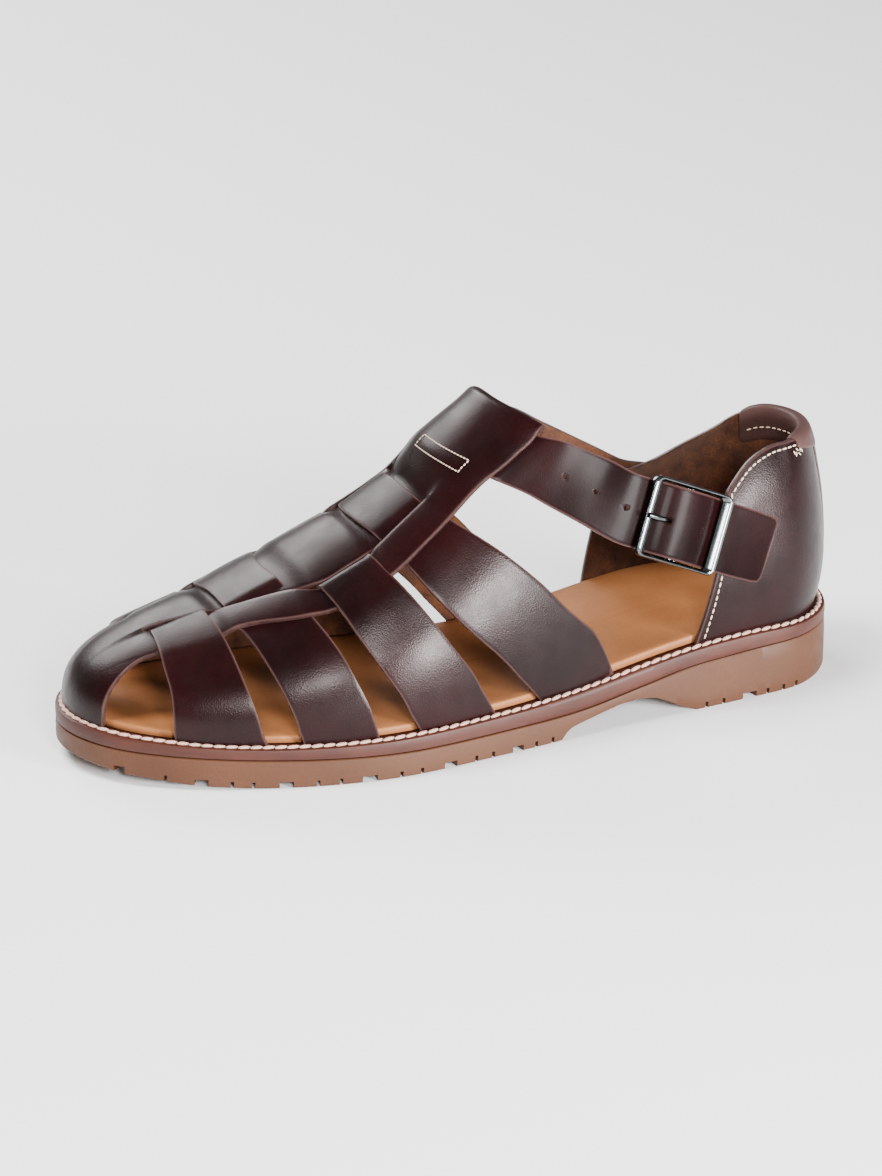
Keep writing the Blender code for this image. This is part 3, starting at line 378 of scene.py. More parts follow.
def feed(tree, socket, value):
    """Links a socket to another node's output, or sets its value."""
    if isinstance(value, bpy.types.NodeSocket):
        tree.links.new(value, socket)
    else:
        socket.default_value = (*value, 1) if socket.type == "RGBA" else value


def add(tree, kind, inputs=None, **settings):
    """A node with its settings, and its inputs linked or set."""
    node = tree.nodes.new("ShaderNode" + kind)
    for name, value in settings.items():
        setattr(node, name, value)
    for socket, value in (inputs or {}).items():
        feed(tree, node.inputs[socket], value)
    return node


def noise(tree, size, detail=2.0, stretch=(1, 1, 1)):
    """Soft noise whose spots are about size millimetres across, stretched along an axis if wished."""
    place = add(tree, "TexCoord").outputs["Object"]
    scale = tuple(1 / (size * MM * k) for k in stretch)
    spread = add(tree, "Mapping", {"Vector": place, "Scale": scale}).outputs[0]
    return add(tree, "TexNoise", {"Vector": spread, "Scale": 1.0, "Detail": detail}).outputs["Fac"]


def ramp(tree, fac, *stops):
    """A colour ramp between two stops, each a position and a colour."""
    node = add(tree, "ValToRGB", {"Fac": fac})
    for point, (position, colour) in zip(node.color_ramp.elements, stops):
        point.position = position
        point.color = (*colour, 1)
    return node.outputs["Color"]


def grey(value):
    return (value, value, value)


def mixed(tree, fac, first, second, blend="MIX"):
    node = add(tree, "Mix", data_type="RGBA", blend_type=blend)
    for place, value in ((0, fac), (6, first), (7, second)):
        feed(tree, node.inputs[place], value)
    return node.outputs[2]


def mottled(tree, colour, spots, amount, low, high):
    """A colour darkened and lightened by spots; low and high are a position in the noise and a brightness."""
    shades = ramp(tree, spots, (low[0], grey(low[1])), (high[0], grey(high[1])))
    return mixed(tree, amount, colour, shades, "MULTIPLY")


def paint(tree, shader, colour):
    tree.links.new(colour, shader.inputs["Base Color"])


def uneven_gloss(tree, shader, size, detail, low, high):
    """Roughness that wanders between two values."""
    rough = ramp(tree, noise(tree, size, detail), (0.3, grey(low)), (0.7, grey(high)))
    tree.links.new(rough, shader.inputs["Roughness"])


def bump(tree, shader, height, strength, depth, after=None):
    """Raises the surface's shading by height, over depth millimetres."""
    node = add(tree, "Bump", {"Strength": strength, "Distance": depth * MM, "Height": height})
    if after is not None:
        tree.links.new(after, node.inputs["Normal"])
    tree.links.new(node.outputs[0], shader.inputs["Normal"])
    return node.outputs[0]


# %% [markdown]
# The upper's leather is polished. The ankle strap is a copy of it with less shine and a slightly darker warm
# tone, which is painted shade, and the collar is a softer hide. Pores are small cells in the bump, and beside
# every cut the colour is lighter: partly burnish, partly a painted highlight.

# %% Dark leather
# Width and colour of the lighter band beside every cut: partly burnish, partly a painted highlight
PORE, BURNISH_AND_HIGHLIGHT_WIDTH = 0.55, 0.9  # millimetres
BURNISH_AND_HIGHLIGHT = (0.10, 0.052, 0.047)
BURGUNDY, BURGUNDY_WARM = (0.0042, 0.0008, 0.0009), (0.0112, 0.0015, 0.0018)
# The ankle strap's warm tone is a little darker than the upper's: painted shade on the same leather
SHADED_STRAP_WARM = (0.0100, 0.0015, 0.0018)
COLLAR_BROWN, COLLAR_WARM = (0.0042, 0.0012, 0.0011), (0.009, 0.0023, 0.0021)


def leather_finish(name, dark, warm, roughness, shine):
    finish, tree, shader = new_finish(
        name, coat_weight=0.04, coat_roughness=0.2, specular_ior_level=shine,
        specular_tint=(1.0, 0.86, 0.86, 1.0),
    )
    cloud = ramp(tree, noise(tree, 34, 3), (0.36, dark), (0.68, warm))
    body = mottled(tree, cloud, noise(tree, 1.1, 3), 1.0, (0.35, 0.82), (0.7, 1.12))
    # The colour is lighter beside every cut edge: partly burnish, partly a painted highlight where the edges
    # catch the light
    distance = add(tree, "Attribute", attribute_name="edge").outputs["Fac"]
    burnish_and_highlight = ramp(tree, distance, (0.0, grey(0.55)), (BURNISH_AND_HIGHLIGHT_WIDTH, grey(0.0)))
    paint(tree, shader, mixed(tree, burnish_and_highlight, body, BURNISH_AND_HIGHLIGHT))
    uneven_gloss(tree, shader, 7, 4, roughness - 0.04, roughness + 0.07)
    place = add(tree, "TexCoord").outputs["Object"]
    cells = add(tree, "TexVoronoi", {"Vector": place, "Scale": 1 / (PORE * MM)}).outputs["Distance"]
    pores = add(tree, "Math", {0: cells, 1: noise(tree, 0.6, 2)}, operation="ADD").outputs[0]
    grain = bump(tree, shader, pores, 0.6, 0.07)
    bump(tree, shader, noise(tree, 9, 2), 0.25, 0.25, after=grain)
    return finish


leather = leather_finish("burgundy_leather", BURGUNDY, BURGUNDY_WARM, roughness=0.32, shine=0.19)
# A darker, less shiny copy of the upper's leather for the ankle strap: its darker colour is painted shade
shaded_strap_leather = leather_finish("shaded_strap_leather", BURGUNDY, SHADED_STRAP_WARM, roughness=0.42, shine=0.03)
collar_leather = leather_finish("collar_leather", COLLAR_BROWN, COLLAR_WARM, roughness=0.45, shine=0.12)
print("leather finishes made")

# %% [markdown]
# The cut edge shows the leather's pale core through its dye. The inside is suede, the flesh side of the hide:
# no shine, a short nap, and a much warmer brown.

# %% Cut edge, suede, insole
def cut_edge_finish():
    finish, tree, shader = new_finish("burnished_cut", roughness=0.42, coat_weight=0.15, coat_roughness=0.25)
    streaks = noise(tree, 2.2, 4)
    paint(tree, shader, ramp(tree, streaks, (0.3, (0.018, 0.006, 0.0055)), (0.75, (0.055, 0.024, 0.021))))
    bump(tree, shader, noise(tree, 0.5, 3), 0.3, 0.05)
    return finish


def suede_finish():
    finish, tree, shader = new_finish(
        "raw_suede", roughness=0.95, sheen_weight=0.35, sheen_roughness=0.5, specular_ior_level=0.2,
    )
    nap = noise(tree, 0.7, 4)
    patches = ramp(tree, noise(tree, 7, 5), (0.3, (0.040, 0.012, 0.0045)), (0.72, (0.115, 0.038, 0.012)))
    paint(tree, shader, mottled(tree, patches, nap, 0.8, (0.3, 0.5), (0.7, 1.3)))
    bump(tree, shader, nap, 0.7, 0.12)
    return finish


def insole_finish():
    finish, tree, shader = new_finish("tan_insole", specular_ior_level=0.28)
    patches = ramp(tree, noise(tree, 30, 4), (0.3, (0.23, 0.083, 0.027)), (0.72, (0.33, 0.128, 0.045)))
    pores = noise(tree, 0.8, 3)
    paint(tree, shader, mottled(tree, patches, pores, 0.5, (0.3, 0.8), (0.6, 1.08)))
    uneven_gloss(tree, shader, 12, 3, 0.46, 0.6)
    bump(tree, shader, pores, 0.18, 0.06)
    return finish


cut_edge = cut_edge_finish()
suede = suede_finish()
insole_tan = insole_finish()
hide = [leather, suede, cut_edge]  # outer face, inner face, cut

# %% [markdown]
# The midsole is a stained layer with faint streaks along it. The outsole is moulded rubber, smooth but not
# glossy. Thread is twisted cotton. The buckle is dark plated metal, polished.

# %% Midsole, rubber, thread, metal
TWIST = 900.0  # strands of thread in a metre, along the diagonal


def midsole_finish():
    finish, tree, shader = new_finish("stained_midsole", roughness=0.5, specular_ior_level=0.3)
    streaks = noise(tree, 1.6, 4, stretch=(6, 6, 0.6))
    patches = ramp(tree, noise(tree, 18, 3), (0.3, (0.039, 0.0096, 0.0053)), (0.7, (0.060, 0.0152, 0.0083)))
    paint(tree, shader, mottled(tree, patches, streaks, 0.6, (0.3, 0.72), (0.7, 1.15)))
    bump(tree, shader, streaks, 0.25, 0.1)
    return finish


def rubber_finish():
    finish, tree, shader = new_finish("tan_rubber", specular_ior_level=0.3)
    patches = ramp(tree, noise(tree, 40, 3), (0.3, (0.058, 0.0195, 0.0074)), (0.7, (0.077, 0.0270, 0.0105)))
    paint(tree, shader, mottled(tree, patches, noise(tree, 0.9, 3), 0.8, (0.32, 0.86), (0.62, 1.05)))
    uneven_gloss(tree, shader, 6, 3, 0.46, 0.6)
    bump(tree, shader, noise(tree, 0.6, 3), 0.2, 0.06)
    return finish


def thread_finish(name, light, shade):
    finish, tree, shader = new_finish(name, roughness=0.7, sheen_weight=0.2)
    place = add(tree, "TexCoord").outputs["Object"]
    strands = {"Scale": TWIST, "Distortion": 1.0, "Vector": place}
    twist = add(tree, "TexWave", strands, bands_direction="DIAGONAL").outputs["Fac"]
    paint(tree, shader, ramp(tree, twist, (0.2, shade), (0.7, light)))
    bump(tree, shader, twist, 0.5, 0.1)
    return finish


def metal_finish():
    finish, tree, shader = new_finish("dark_plated_metal", metallic=1.0)
    paint(tree, shader, ramp(tree, noise(tree, 4, 3), (0.3, (0.10, 0.11, 0.115)), (0.7, (0.14, 0.15, 0.155))))
    uneven_gloss(tree, shader, 1.5, 4, 0.16, 0.21)
    bump(tree, shader, noise(tree, 5, 2), 0.1, 0.05)
    return finish


midsole_red = midsole_finish()
rubber = rubber_finish()
welt_thread = thread_finish("welt_thread", (0.66, 0.42, 0.33), (0.40, 0.22, 0.16))
fine_thread = thread_finish("cream_thread", (0.74, 0.58, 0.45), (0.45, 0.32, 0.23))
gunmetal = metal_finish()
print("finishes:", len(bpy.data.materials))

# %% [markdown]
# ## Camera, light and floor
#
# The camera stands where the photograph was taken. A soft box low beside the heel gives the straps their
# bright bands, and a small one near the camera does so for the front straps. One on the far side gives the
# toe and the weave their grey sheen. The fill from above must not show in the polished leather, so it lights
# only what is matt, as a lamp behind a polarising filter does. The floor is pale and plain.

# %% Camera
def bearing(azimuth, elevation):
    """The direction from the shoe at angles in degrees; azimuth 0 is in front of the toe."""
    a, e = math.radians(azimuth), math.radians(elevation)
    return Vector((math.sin(a) * math.cos(e), -math.cos(a) * math.cos(e), math.sin(e)))


TARGET = Vector((0.0, -4.0, 46.1)) * MM
VIEW_AZIMUTH, VIEW_ELEVATION, VIEW_DISTANCE, LENS = 66, 21.4, 1.8, 151.8


def placed(name, data, azimuth, elevation, distance):
    """An object that looks at the shoe from a direction, at a distance in metres."""
    made = bpy.data.objects.new(name, data)
    bpy.context.collection.objects.link(made)
    back = bearing(azimuth, elevation)
    made.location = TARGET + back * distance
    made.rotation_euler = back.to_track_quat("Z", "Y").to_euler()
    return made


camera = placed("camera", bpy.data.cameras.new("camera"), VIEW_AZIMUTH, VIEW_ELEVATION, VIEW_DISTANCE)
camera.data.lens = LENS
bpy.context.scene.camera = camera


# %% Lights and floor
def soft_box(name, azimuth, elevation, distance, size, power, shines=True):
    """A lamp of a size in metres and a power in watts; shines says whether gloss shows it."""
    lamp = bpy.data.lights.new(name, "AREA")
    lamp.shape, lamp.size, lamp.size_y, lamp.energy = "RECTANGLE", size[0], size[1], power
    placed(name, lamp, azimuth, elevation, distance).visible_glossy = shines


soft_box("side_box", 115, 9, 1.5, (0.42, 0.5), 76)
soft_box("near_box", 77, 24, 1.5, (0.3, 0.3), 25)
soft_box("far_box", 280, 34, 1.8, (1.0, 0.7), 27)
soft_box("top_fill", 350, 64, 1.8, (0.8, 0.8), 56, shines=False)

world = bpy.data.worlds.new("studio")
bpy.context.scene.world = world
world.use_nodes = True
world.node_tree.nodes["Background"].inputs["Color"].default_value = (1, 1, 1, 1)
world.node_tree.nodes["Background"].inputs["Strength"].default_value = 0.24

ground = bmesh.new()
bmesh.ops.create_grid(ground, x_segments=1, y_segments=1, size=6)
ground_mesh = bpy.data.meshes.new("floor")
ground.to_mesh(ground_mesh)
ground.free()
studio_floor = bpy.data.objects.new("floor", ground_mesh)
bpy.context.collection.objects.link(studio_floor)
pale, _, _ = new_finish("pale_floor", base_color=(0.95, 0.95, 0.95, 1), roughness=0.9)
ground_mesh.materials.append(pale)

# %% [markdown]
# ## The sole
#
# The outsole and the midsole share one outline. Each is a skin lofted through closed rings: from the middle
# line of the bottom out to the edge, up the side, and back to the middle line of the top. Side rings that are
# moved in a little round the edges.

# %% Rings of the sole
def sole_ring(share, moved_in, level):
    """A ring at a share of the way from the middle line to the edge; level gives its height from t."""
    line = inset(EDGE, moved_in)
    t = np.clip(line[:, 0], 0, LENGTH)
    middle = sum(sides_at(EDGE_SIDES, t)) / 2
    return np.c_[middle + share * (line[:, 1] - middle), LENGTH / 2 - line[:, 0], level(t)]


def rings_from(rows, level):
    """Rings of the sole from rows of share, distance moved in, and share of the height."""
    return [sole_ring(share, moved_in, level(height)) for share, moved_in, height in rows]


def tread(t):
    """The height of the sole's underside."""
    return np.interp(t, *np.array(TREAD).T)


def between(share):
    """A level inside the outsole, at a share of its thickness."""
    return lambda t: tread(t) + share * (through(OUTSOLE_TOP, t) - tread(t))


# %% [markdown]
# The outsole's side has narrow slots and wide lugs along its lower edge. They are boxes that are cut out in
# one go, and the same is done for the grooves across the tread.

# %% Outsole
# Slots and lugs: where each starts and ends in t, and its depth
NOTCHES = [
    (25, 26.2, 5), (31, 32.2, 5), (38, 39.2, 5), (43.5, 49.5, 13), (57.2, 58.4, 5), (64.5, 65.7, 5),
    (130, 131.2, 5), (137, 138.2, 5), (143, 147.5, 14), (155, 156.2, 5), (162, 163.2, 5),
    (170.6, 175.6, 14), (184, 185.2, 5), (192, 193.2, 5), (201.5, 207, 14), (214, 215.2, 5),
    (222, 223.2, 5), (231, 236, 14), (244, 245.2, 5), (251, 252.2, 5), (259, 264, 12),
    (272, 273.2, 4), (284, 288.5, 7),
]
NOTCH_HEIGHT = 2.4
# Grooves: t, half the length, width
GROOVES = [(188, 22, 3), (203, 22, 3), (218, 20, 3), (233, 18, 3), (172, 20, 3)]
GROOVE_DEPTH, GROOVE_X = 2.2, 2.0
PAST = 2  # how far a cutting box reaches past the rubber


def box_at(middle, axes, sizes):
    """A box for cutting, laid along three directions."""
    box = bmesh.new()
    bmesh.ops.create_cube(box, size=1.0)
    bmesh.ops.scale(box, vec=Vector(sizes) * MM, verts=box.verts)
    bmesh.ops.transform(box, matrix=laid(middle, axes), verts=box.verts)
    return box


outsole_rings = rings_from([
    (0.03, 0.5, 0), (0.5, 0.5, 0), (0.86, 0.5, 0), (1.0, 0.5, 0), (1.0, 0.1, 0.05), (1.0, 0.0, 0.3),
    (1.0, 0.0, 0.7), (1.0, 0.15, 0.97), (1.0, 0.5, 1), (0.5, 0.5, 1), (0.03, 0.5, 1),
], between)
outsole = add_piece("outsole_rubber", loft(outsole_rings), [rubber], ("outsole",), "sole_rubber", sharp=30)
cuts = []
for first, final, depth in NOTCHES:
    t = (first + final) / 2
    for outwards, x, next_x in zip((1, -1), sides_at(EDGE_SIDES, t), sides_at(EDGE_SIDES, t + 1)):
        here = np.array([x, LENGTH / 2 - t])
        along = unit(np.array([next_x, LENGTH / 2 - t - 1]) - here)
        out = np.array([-along[1], along[0]]) * outwards
        middle = (*(here - out * (depth / 2 - PAST)), float(tread(t)) + NOTCH_HEIGHT / 2 - PAST)
        axes = ((*along, 0), (*out, 0), (0, 0, 1))
        cuts.append(box_at(middle, axes, (final - first, depth + 2 * PAST, NOTCH_HEIGHT + 2 * PAST)))
for t, half, width in GROOVES:
    middle = (GROOVE_X, LENGTH / 2 - t, float(tread(t)) + GROOVE_DEPTH / 2 - PAST)
    cuts.append(box_at(middle, np.eye(3), (2 * half, width, GROOVE_DEPTH + 2 * PAST)))
cut(outsole, joined(cuts))
outsole.data.set_sharp_from_angle(angle=math.radians(30))

# %% Midsole
def midsole_level(share):
    """A level inside the midsole, at a share of its thickness."""
    return lambda t: through(OUTSOLE_TOP, t) + GAP + share * (welt_top(t) - through(OUTSOLE_TOP, t) - GAP)


midsole_rings = rings_from([
    (0.03, 0.6, 0), (0.6, 0.6, 0), (1.0, 0.6, 0), (1.0, 0.15, 0.06), (1.0, 0.0, 0.3), (1.0, 0.0, 0.72),
    (1.0, 0.25, 0.93), (1.0, 0.9, 1), (1.0, 2.0, 1), (0.9, 2.0, 1), (0.5, 2.0, 1), (0.03, 2.0, 1),
], midsole_level)
add_piece("midsole_layer", loft(midsole_rings), [midsole_red], ("midsole",), "midsole_leather", sharp=45)

# %% [markdown]
# ## The insole
#
# Smooth tan leather on a thin board. Its middle is slightly hollow for the foot, and it rises under the arch.

# %% Insole
INSOLE_INSET, HEEL_INSET, INSOLE_THICK = 5.6, 2.0, 2.8
insole_edge = inset(EDGE, INSOLE_INSET + HEEL_INSET * np.clip((40 - EDGE[:, :1]) / 25, 0, 1))
INSOLE_SIDES = two_sides(insole_edge)


def insole_ring(share, moved_in, height):
    line = inset(insole_edge, moved_in)
    t = np.clip(line[:, 0], 0, LENGTH)
    lateral, medial = sides_at(INSOLE_SIDES, t)
    x = (lateral + medial) / 2 + share * (line[:, 1] - (lateral + medial) / 2)
    across = np.clip((lateral - x) / np.maximum(lateral - medial, 1), 0, 1)
    # The footbed rises most under the arch, on the inner side
    rise = through(FOOTBED, t) * (0.15 + 0.85 * across**1.5)
    return np.c_[x, LENGTH / 2 - t, welt_top(t) + GAP + height * (INSOLE_THICK + rise)]


# Share, distance moved in, height: the underside, the rounded side and then the top
insole_rows = [(share, 0.4, 0) for share in (0.03, 0.6, 1)]
insole_rows += [(1, 0, 0.12), (1, 0, 0.8), (1, 0.25, 0.95), (1, 0.8, 1)]
insole_rows += [(share, 0.8, 1) for share in (0.92, 0.8, 0.6, 0.4, 0.2, 0.1, 0.004)]
insole_rings = [insole_ring(*row) for row in insole_rows]
add_piece("insole_leather", loft(insole_rings), [insole_tan], ("insole",), "insole_leather", sharp=50)

# %% [markdown]
# ## Stitches
#
# A stitch is a short thick thread with rounded ends. A small ball, stretched and laid along its seam, is
# enough: a few dozen faces, repeated hundreds of times. A slight slant gives the rope look of a lock stitch.

# %% Stitch helpers
def run_of(path):
    """The distance along a path at each of its places."""
    return np.r_[0, np.cumsum(np.linalg.norm(np.diff(path, axis=0), axis=1))]


def place_at(distance, run, rows):
    """The place, or direction, at a distance along a path."""
    distance = np.clip(distance, 0, run[-1])
    return np.array([np.interp(distance, run, rows[:, i]) for i in range(rows.shape[1])])


def stitches(path, above, pitch, radius, fill, slant=0.0):
    """Stitches along a path of places; above holds a place straight above each one."""
    run, outward = run_of(path), unit(above - path)
    count = max(1, round(run[-1] / pitch))
    half = run[-1] / count * fill / 2
    size = Matrix.Diagonal((radius * MM, radius * MM * 0.85, half * MM, 1))
    made = []
    for k in range(count):
        at = (k + 0.5) * run[-1] / count
        facing = Vector(place_at(at, run, outward)).normalized()
        along = Vector(place_at(at + 0.4, run, path) - place_at(at - 0.4, run, path)).normalized()
        along = Matrix.Rotation(slant, 3, facing) @ along
        side = facing.cross(along).normalized()
        ball = bmesh.new()
        bmesh.ops.create_uvsphere(ball, u_segments=8, v_segments=6, radius=1.0)
        lay = laid(place_at(at, run, path), (side, facing, along)) @ size
        bmesh.ops.transform(ball, matrix=lay, verts=ball.verts)
        made.append(ball)
    return joined(made)


def sew(name, parts, thread, slot):
    """Rows of stitches as one piece."""
    add_piece(name, joined(parts), [thread], (), slot, sharp=0)


# %% Welt stitching
WELT_STITCH_IN, WELT_PITCH, WELT_THREAD = 2.2, 4.3, 0.85
seam = inset(EDGE, WELT_STITCH_IN)
seam = np.vstack([seam, seam[:1]])
path = np.c_[seam[:, 1], LENGTH / 2 - seam[:, 0], welt_top(np.clip(seam[:, 0], 0, LENGTH)) + 0.25]
# Each stitch reaches a little past the next, so the row looks like a rope
rope = stitches(path, path + (0, 0, 1), WELT_PITCH, WELT_THREAD, fill=1.14, slant=math.radians(13))
sew("welt_stitching", [rope], welt_thread, "midsole_leather")

# %% [markdown]
# ## The vamp's centre piece
#
# One piece of leather makes the tongue, the two rails beside the weave, the centre strand between them and
# the toe cap. Two long slits part the rails from the strand. Rails and strand rise where they pass over a
# cross strap and dip where they pass under one, and the tongue's end is folded back into a loop.

# %% Pattern of the centre piece
WALL = 1.8
RISE = 1.9  # what passes over another strip lies this much higher
# t, sweep, v of the near edge, near slit, far slit and far edge, then lifts of the rails and the strand
CENTRE = [
    (135, 10, 0.332, 0.410, 0.590, 0.668, 5.3, 5.3),
    (154.5, 10, 0.337, 0.410, 0.590, 0.663, 5.2, 5.2),
    (160.5, 8, 0.338, 0.406, 0.586, 0.660, 3.6, 3.5),
    (164, 5, 0.335, 0.404, 0.582, 0.657, 2.6, 2.1),
    (168, 2, 0.330, 0.402, 0.575, 0.658, 1.9, 0.2),
    (186, 0, 0.312, 0.386, 0.600, 0.688, 1.9, 0.0),
    (192, 0, 0.310, 0.378, 0.612, 0.692, 0.3, 1.8),
    (197, 0, 0.311, 0.378, 0.618, 0.695, 0.0, 1.9),
    (209, 0, 0.316, 0.380, 0.630, 0.700, 0.1, 1.9),
    (217, 0, 0.324, 0.403, 0.639, 0.712, 1.8, 0.2),
    (238, 0, 0.374, 0.447, 0.655, 0.736, 1.9, 0.0),
    (245, 0, 0.380, 0.461, 0.650, 0.735, 0.2, 1.7),
    (250, 0, 0.383, 0.468, 0.643, 0.728, 0.0, 1.9),
    (262, 0, 0.388, 0.486, 0.622, 0.706, 0.2, 1.9),
    (268, 0, 0.390, 0.492, 0.610, 0.700, 1.0, 1.2),
]
LOOP_T, RAIL_END = CENTRE[0][0], 265.5
SLITS = (166.3, RAIL_END)
SLIT_WIDTH = 0.006
# The toe cap's edge beside each opening, from the welt up to the rail: t, share of the rail's v
TOE_EDGE = [
    (287.4, 0.0), (287.2, 0.26), (286.6, 0.51), (284.0, 0.73), (279.0, 0.89), (273.0, 0.975), (266.0, 1.0),
]
TOE_LIFT = 0.6
BULGES = [(201, 9, 0.9), (256, 8, 0.5)]  # of the strand: t, width, height
ROLL_LIFT, LOOP_RETURN, SWEEP_HALF = 3.5, 162.5, 0.165
INNER_SWEEP = 0.7  # the inner side's share of the sweep
RAIL_CELLS, STRAND_CELLS, SIDE_CELLS = 8, 18, 16


def swept(t, sweep, v):
    """The tongue's rows bow back towards its two edges, a little less on the inner side."""
    side = np.where(np.asarray(v) > 0.5, INNER_SWEEP, 1.0)
    return t - sweep * side * np.clip(np.abs(v - 0.5) / SWEEP_HALF, 0, 1.2) ** 2


def crown(cells, height):
    """A low arch over a row of cells."""
    return height * (1 - np.linspace(-1, 1, cells + 1) ** 2)


def centre_columns(table):
    """The v of every column: a rail, the strand and a rail, with the slits between them."""
    near, slit_near, slit_far, far = (table[:, k] for k in (1, 2, 3, 4))
    half = SLIT_WIDTH / 2
    bands = [(near, slit_near - half, RAIL_CELLS), (slit_near + half, slit_far - half, STRAND_CELLS)]
    bands.append((slit_far + half, far, RAIL_CELLS))
    return np.hstack([
        low[:, None] + (high - low)[:, None] * np.linspace(0, 1, cells + 1) for low, high, cells in bands
    ])


# %% The folded loop at the tongue's top
def loop_rows(v, sweep, lift):
    """Rows of the layer that returns below, and of the roll over the ankle strap."""
    inner, outer = [], []
    lift = lift[:, None]
    back_lift = 2 * ROLL_LIFT - lift - WALL / 2
    for t in np.linspace(LOOP_RETURN, LOOP_T + 3, 14):
        narrow = 0.5 + (v - 0.5) * (1 - 0.3 * np.clip((t - 148) / 10, 0, 1))
        point, normal, _ = last_frame(swept(t, sweep, narrow), narrow)
        inner.append(point + normal * (back_lift + WALL / 2))
        outer.append(point + normal * (back_lift - WALL / 2 + 0.3))
    radius = lift + WALL / 2 - ROLL_LIFT
    point, normal, back = last_frame(swept(LOOP_T, sweep, v), v)
    axis = point + normal * ROLL_LIFT
    for angle in np.radians(np.linspace(180, 12, 15)):
        out = normal * np.cos(angle) + back * np.sin(angle)
        inner.append(axis + out * (radius - WALL / 2))
        outer.append(axis + out * (radius + WALL / 2))
    return np.array(inner), np.array(outer)


# %% The centre piece
def centre_piece():
    rows = np.r_[np.linspace(LOOP_T, 164, 26), np.linspace(165, RAIL_END, 90)]
    table = through(CENTRE, rows)
    v = centre_columns(table)
    t = swept(rows[:, None], table[:, :1], v)
    rail, strand = (eased(CENTRE, rows, column)[:, None] for column in (6, 7))
    # Rails and strand are slightly crowned, and the strand bulges most where it passes over a cross strap
    swell = 0.35 + sum(height * np.exp(-(((rows - at) / width) ** 2)) for at, width, height in BULGES)
    swell *= np.clip((rows - 162) / 10, 0, 1)
    rails = rail + crown(RAIL_CELLS, 0.25)
    strands = strand + crown(STRAND_CELLS, 1.0) * swell[:, None]
    lift = np.hstack([rails, strands, rails])
    sides = np.array(TOE_EDGE)
    edge = through(np.c_[np.arange(len(sides)), sides], np.linspace(0, len(sides) - 1, SIDE_CELLS + 1)[:-1])
    columns = v.shape[1]
    first_t = np.r_[edge[:, 0], np.full(columns, rows[-1]), edge[::-1, 0]]
    first_v = np.r_[edge[:, 1] * v[-1, 0], v[-1], 1 - edge[::-1, 1] * (1 - v[-1, -1])]
    side_lift = np.full(SIDE_CELLS, TOE_LIFT)
    first_lift = np.r_[side_lift, lift[-1], side_lift]
    swing = np.sin(np.linspace(0, np.radians(87), 30)) ** (2 / TOE_POWER)
    toe = [first_t + (T_TIP - 0.1 - first_t) * k for k in swing]
    toe_lift = [TOE_LIFT + (first_lift - TOE_LIFT) * (1 - k) ** 2 for k in swing]
    beside = [(0, 0), (SIDE_CELLS, SIDE_CELLS)]
    all_t = np.vstack([np.pad(t[:-1], beside, constant_values=LENGTH / 2), toe])
    all_v = np.vstack([np.pad(v[:-1], beside, constant_values=0.5), np.tile(first_v, (len(swing), 1))])
    all_lift = np.vstack([np.pad(lift[:-1], beside), toe_lift])
    grids = []
    for raise_by, roll in zip((0, WALL), loop_rows(v[0], table[0, 0], lift[0])):
        grid = lifted(all_t, all_v, all_lift + raise_by)
        # The toe's front face drops straight to the welt
        front = grid[-1:].copy()
        front[..., 2] = welt_top(LENGTH / 2 - front[..., 1]) + GAP
        grids.append(np.vstack([np.pad(roll, beside + [(0, 0)]), grid, front]))
    low, high = grids
    # Only the rows of the toe cap use the cells on both sides
    keep = np.zeros((low.shape[0] - 1, low.shape[1] - 1), bool)
    rolled = len(roll)
    narrow = rolled + len(rows) - 1
    keep[:narrow, SIDE_CELLS : SIDE_CELLS + columns - 1] = True
    keep[narrow:] = True
    slit_rows = rolled + np.flatnonzero((rows[:-1] >= SLITS[0] - 0.1) & (rows[1:] <= SLITS[1] + 0.1))
    for column in (SIDE_CELLS + RAIL_CELLS, SIDE_CELLS + RAIL_CELLS + STRAND_CELLS + 1):
        keep[slit_rows, column] = False
    sheet("vamp_centre", low, high, hide, keep, replaces=("upper",), slot="upper_leather", bevel=0.4)


centre_piece()

# %% [markdown]
# A bar of stitching across the tongue holds the folded layers together. It is a plain long rectangle.

# %% Stitched bar on the tongue
BAR_ROWS, BAR_V = (153.6, 157.6), (0.385, 0.515)


def on_tongue(t, v):
    """A place on the tongue's outer face, and one above it."""
    table = through(CENTRE, t)
    base = eased(CENTRE, t, 7) + WALL + 0.35
    at = swept(t, table[..., 0], v)
    return lifted(at, v, base), lifted(at, v, base + 3)


(t0, t1), (v0, v1) = BAR_ROWS, BAR_V
bar_t = np.r_[np.full(12, t0), np.linspace(t0, t1, 4), np.full(12, t1), np.linspace(t1, t0, 4)]
bar_v = np.r_[np.linspace(v0, v1, 12), np.full(4, v1), np.linspace(v1, v0, 12), np.full(4, v0)]
bar = stitches(*on_tongue(bar_t, bar_v), pitch=1.5, radius=0.26, fill=0.8)
sew("tongue_stitching", [bar], fine_thread, "upper_leather")

# %% [markdown]
# ## The four cross straps
#
# Each strap runs from welt to welt and is woven through the two slits. Straps 1 and 3 lie over the rails and
# under the strand, straps 2 and 4 the other way round. The table gives their edges on the outer half, and the
# inner half mirrors it.

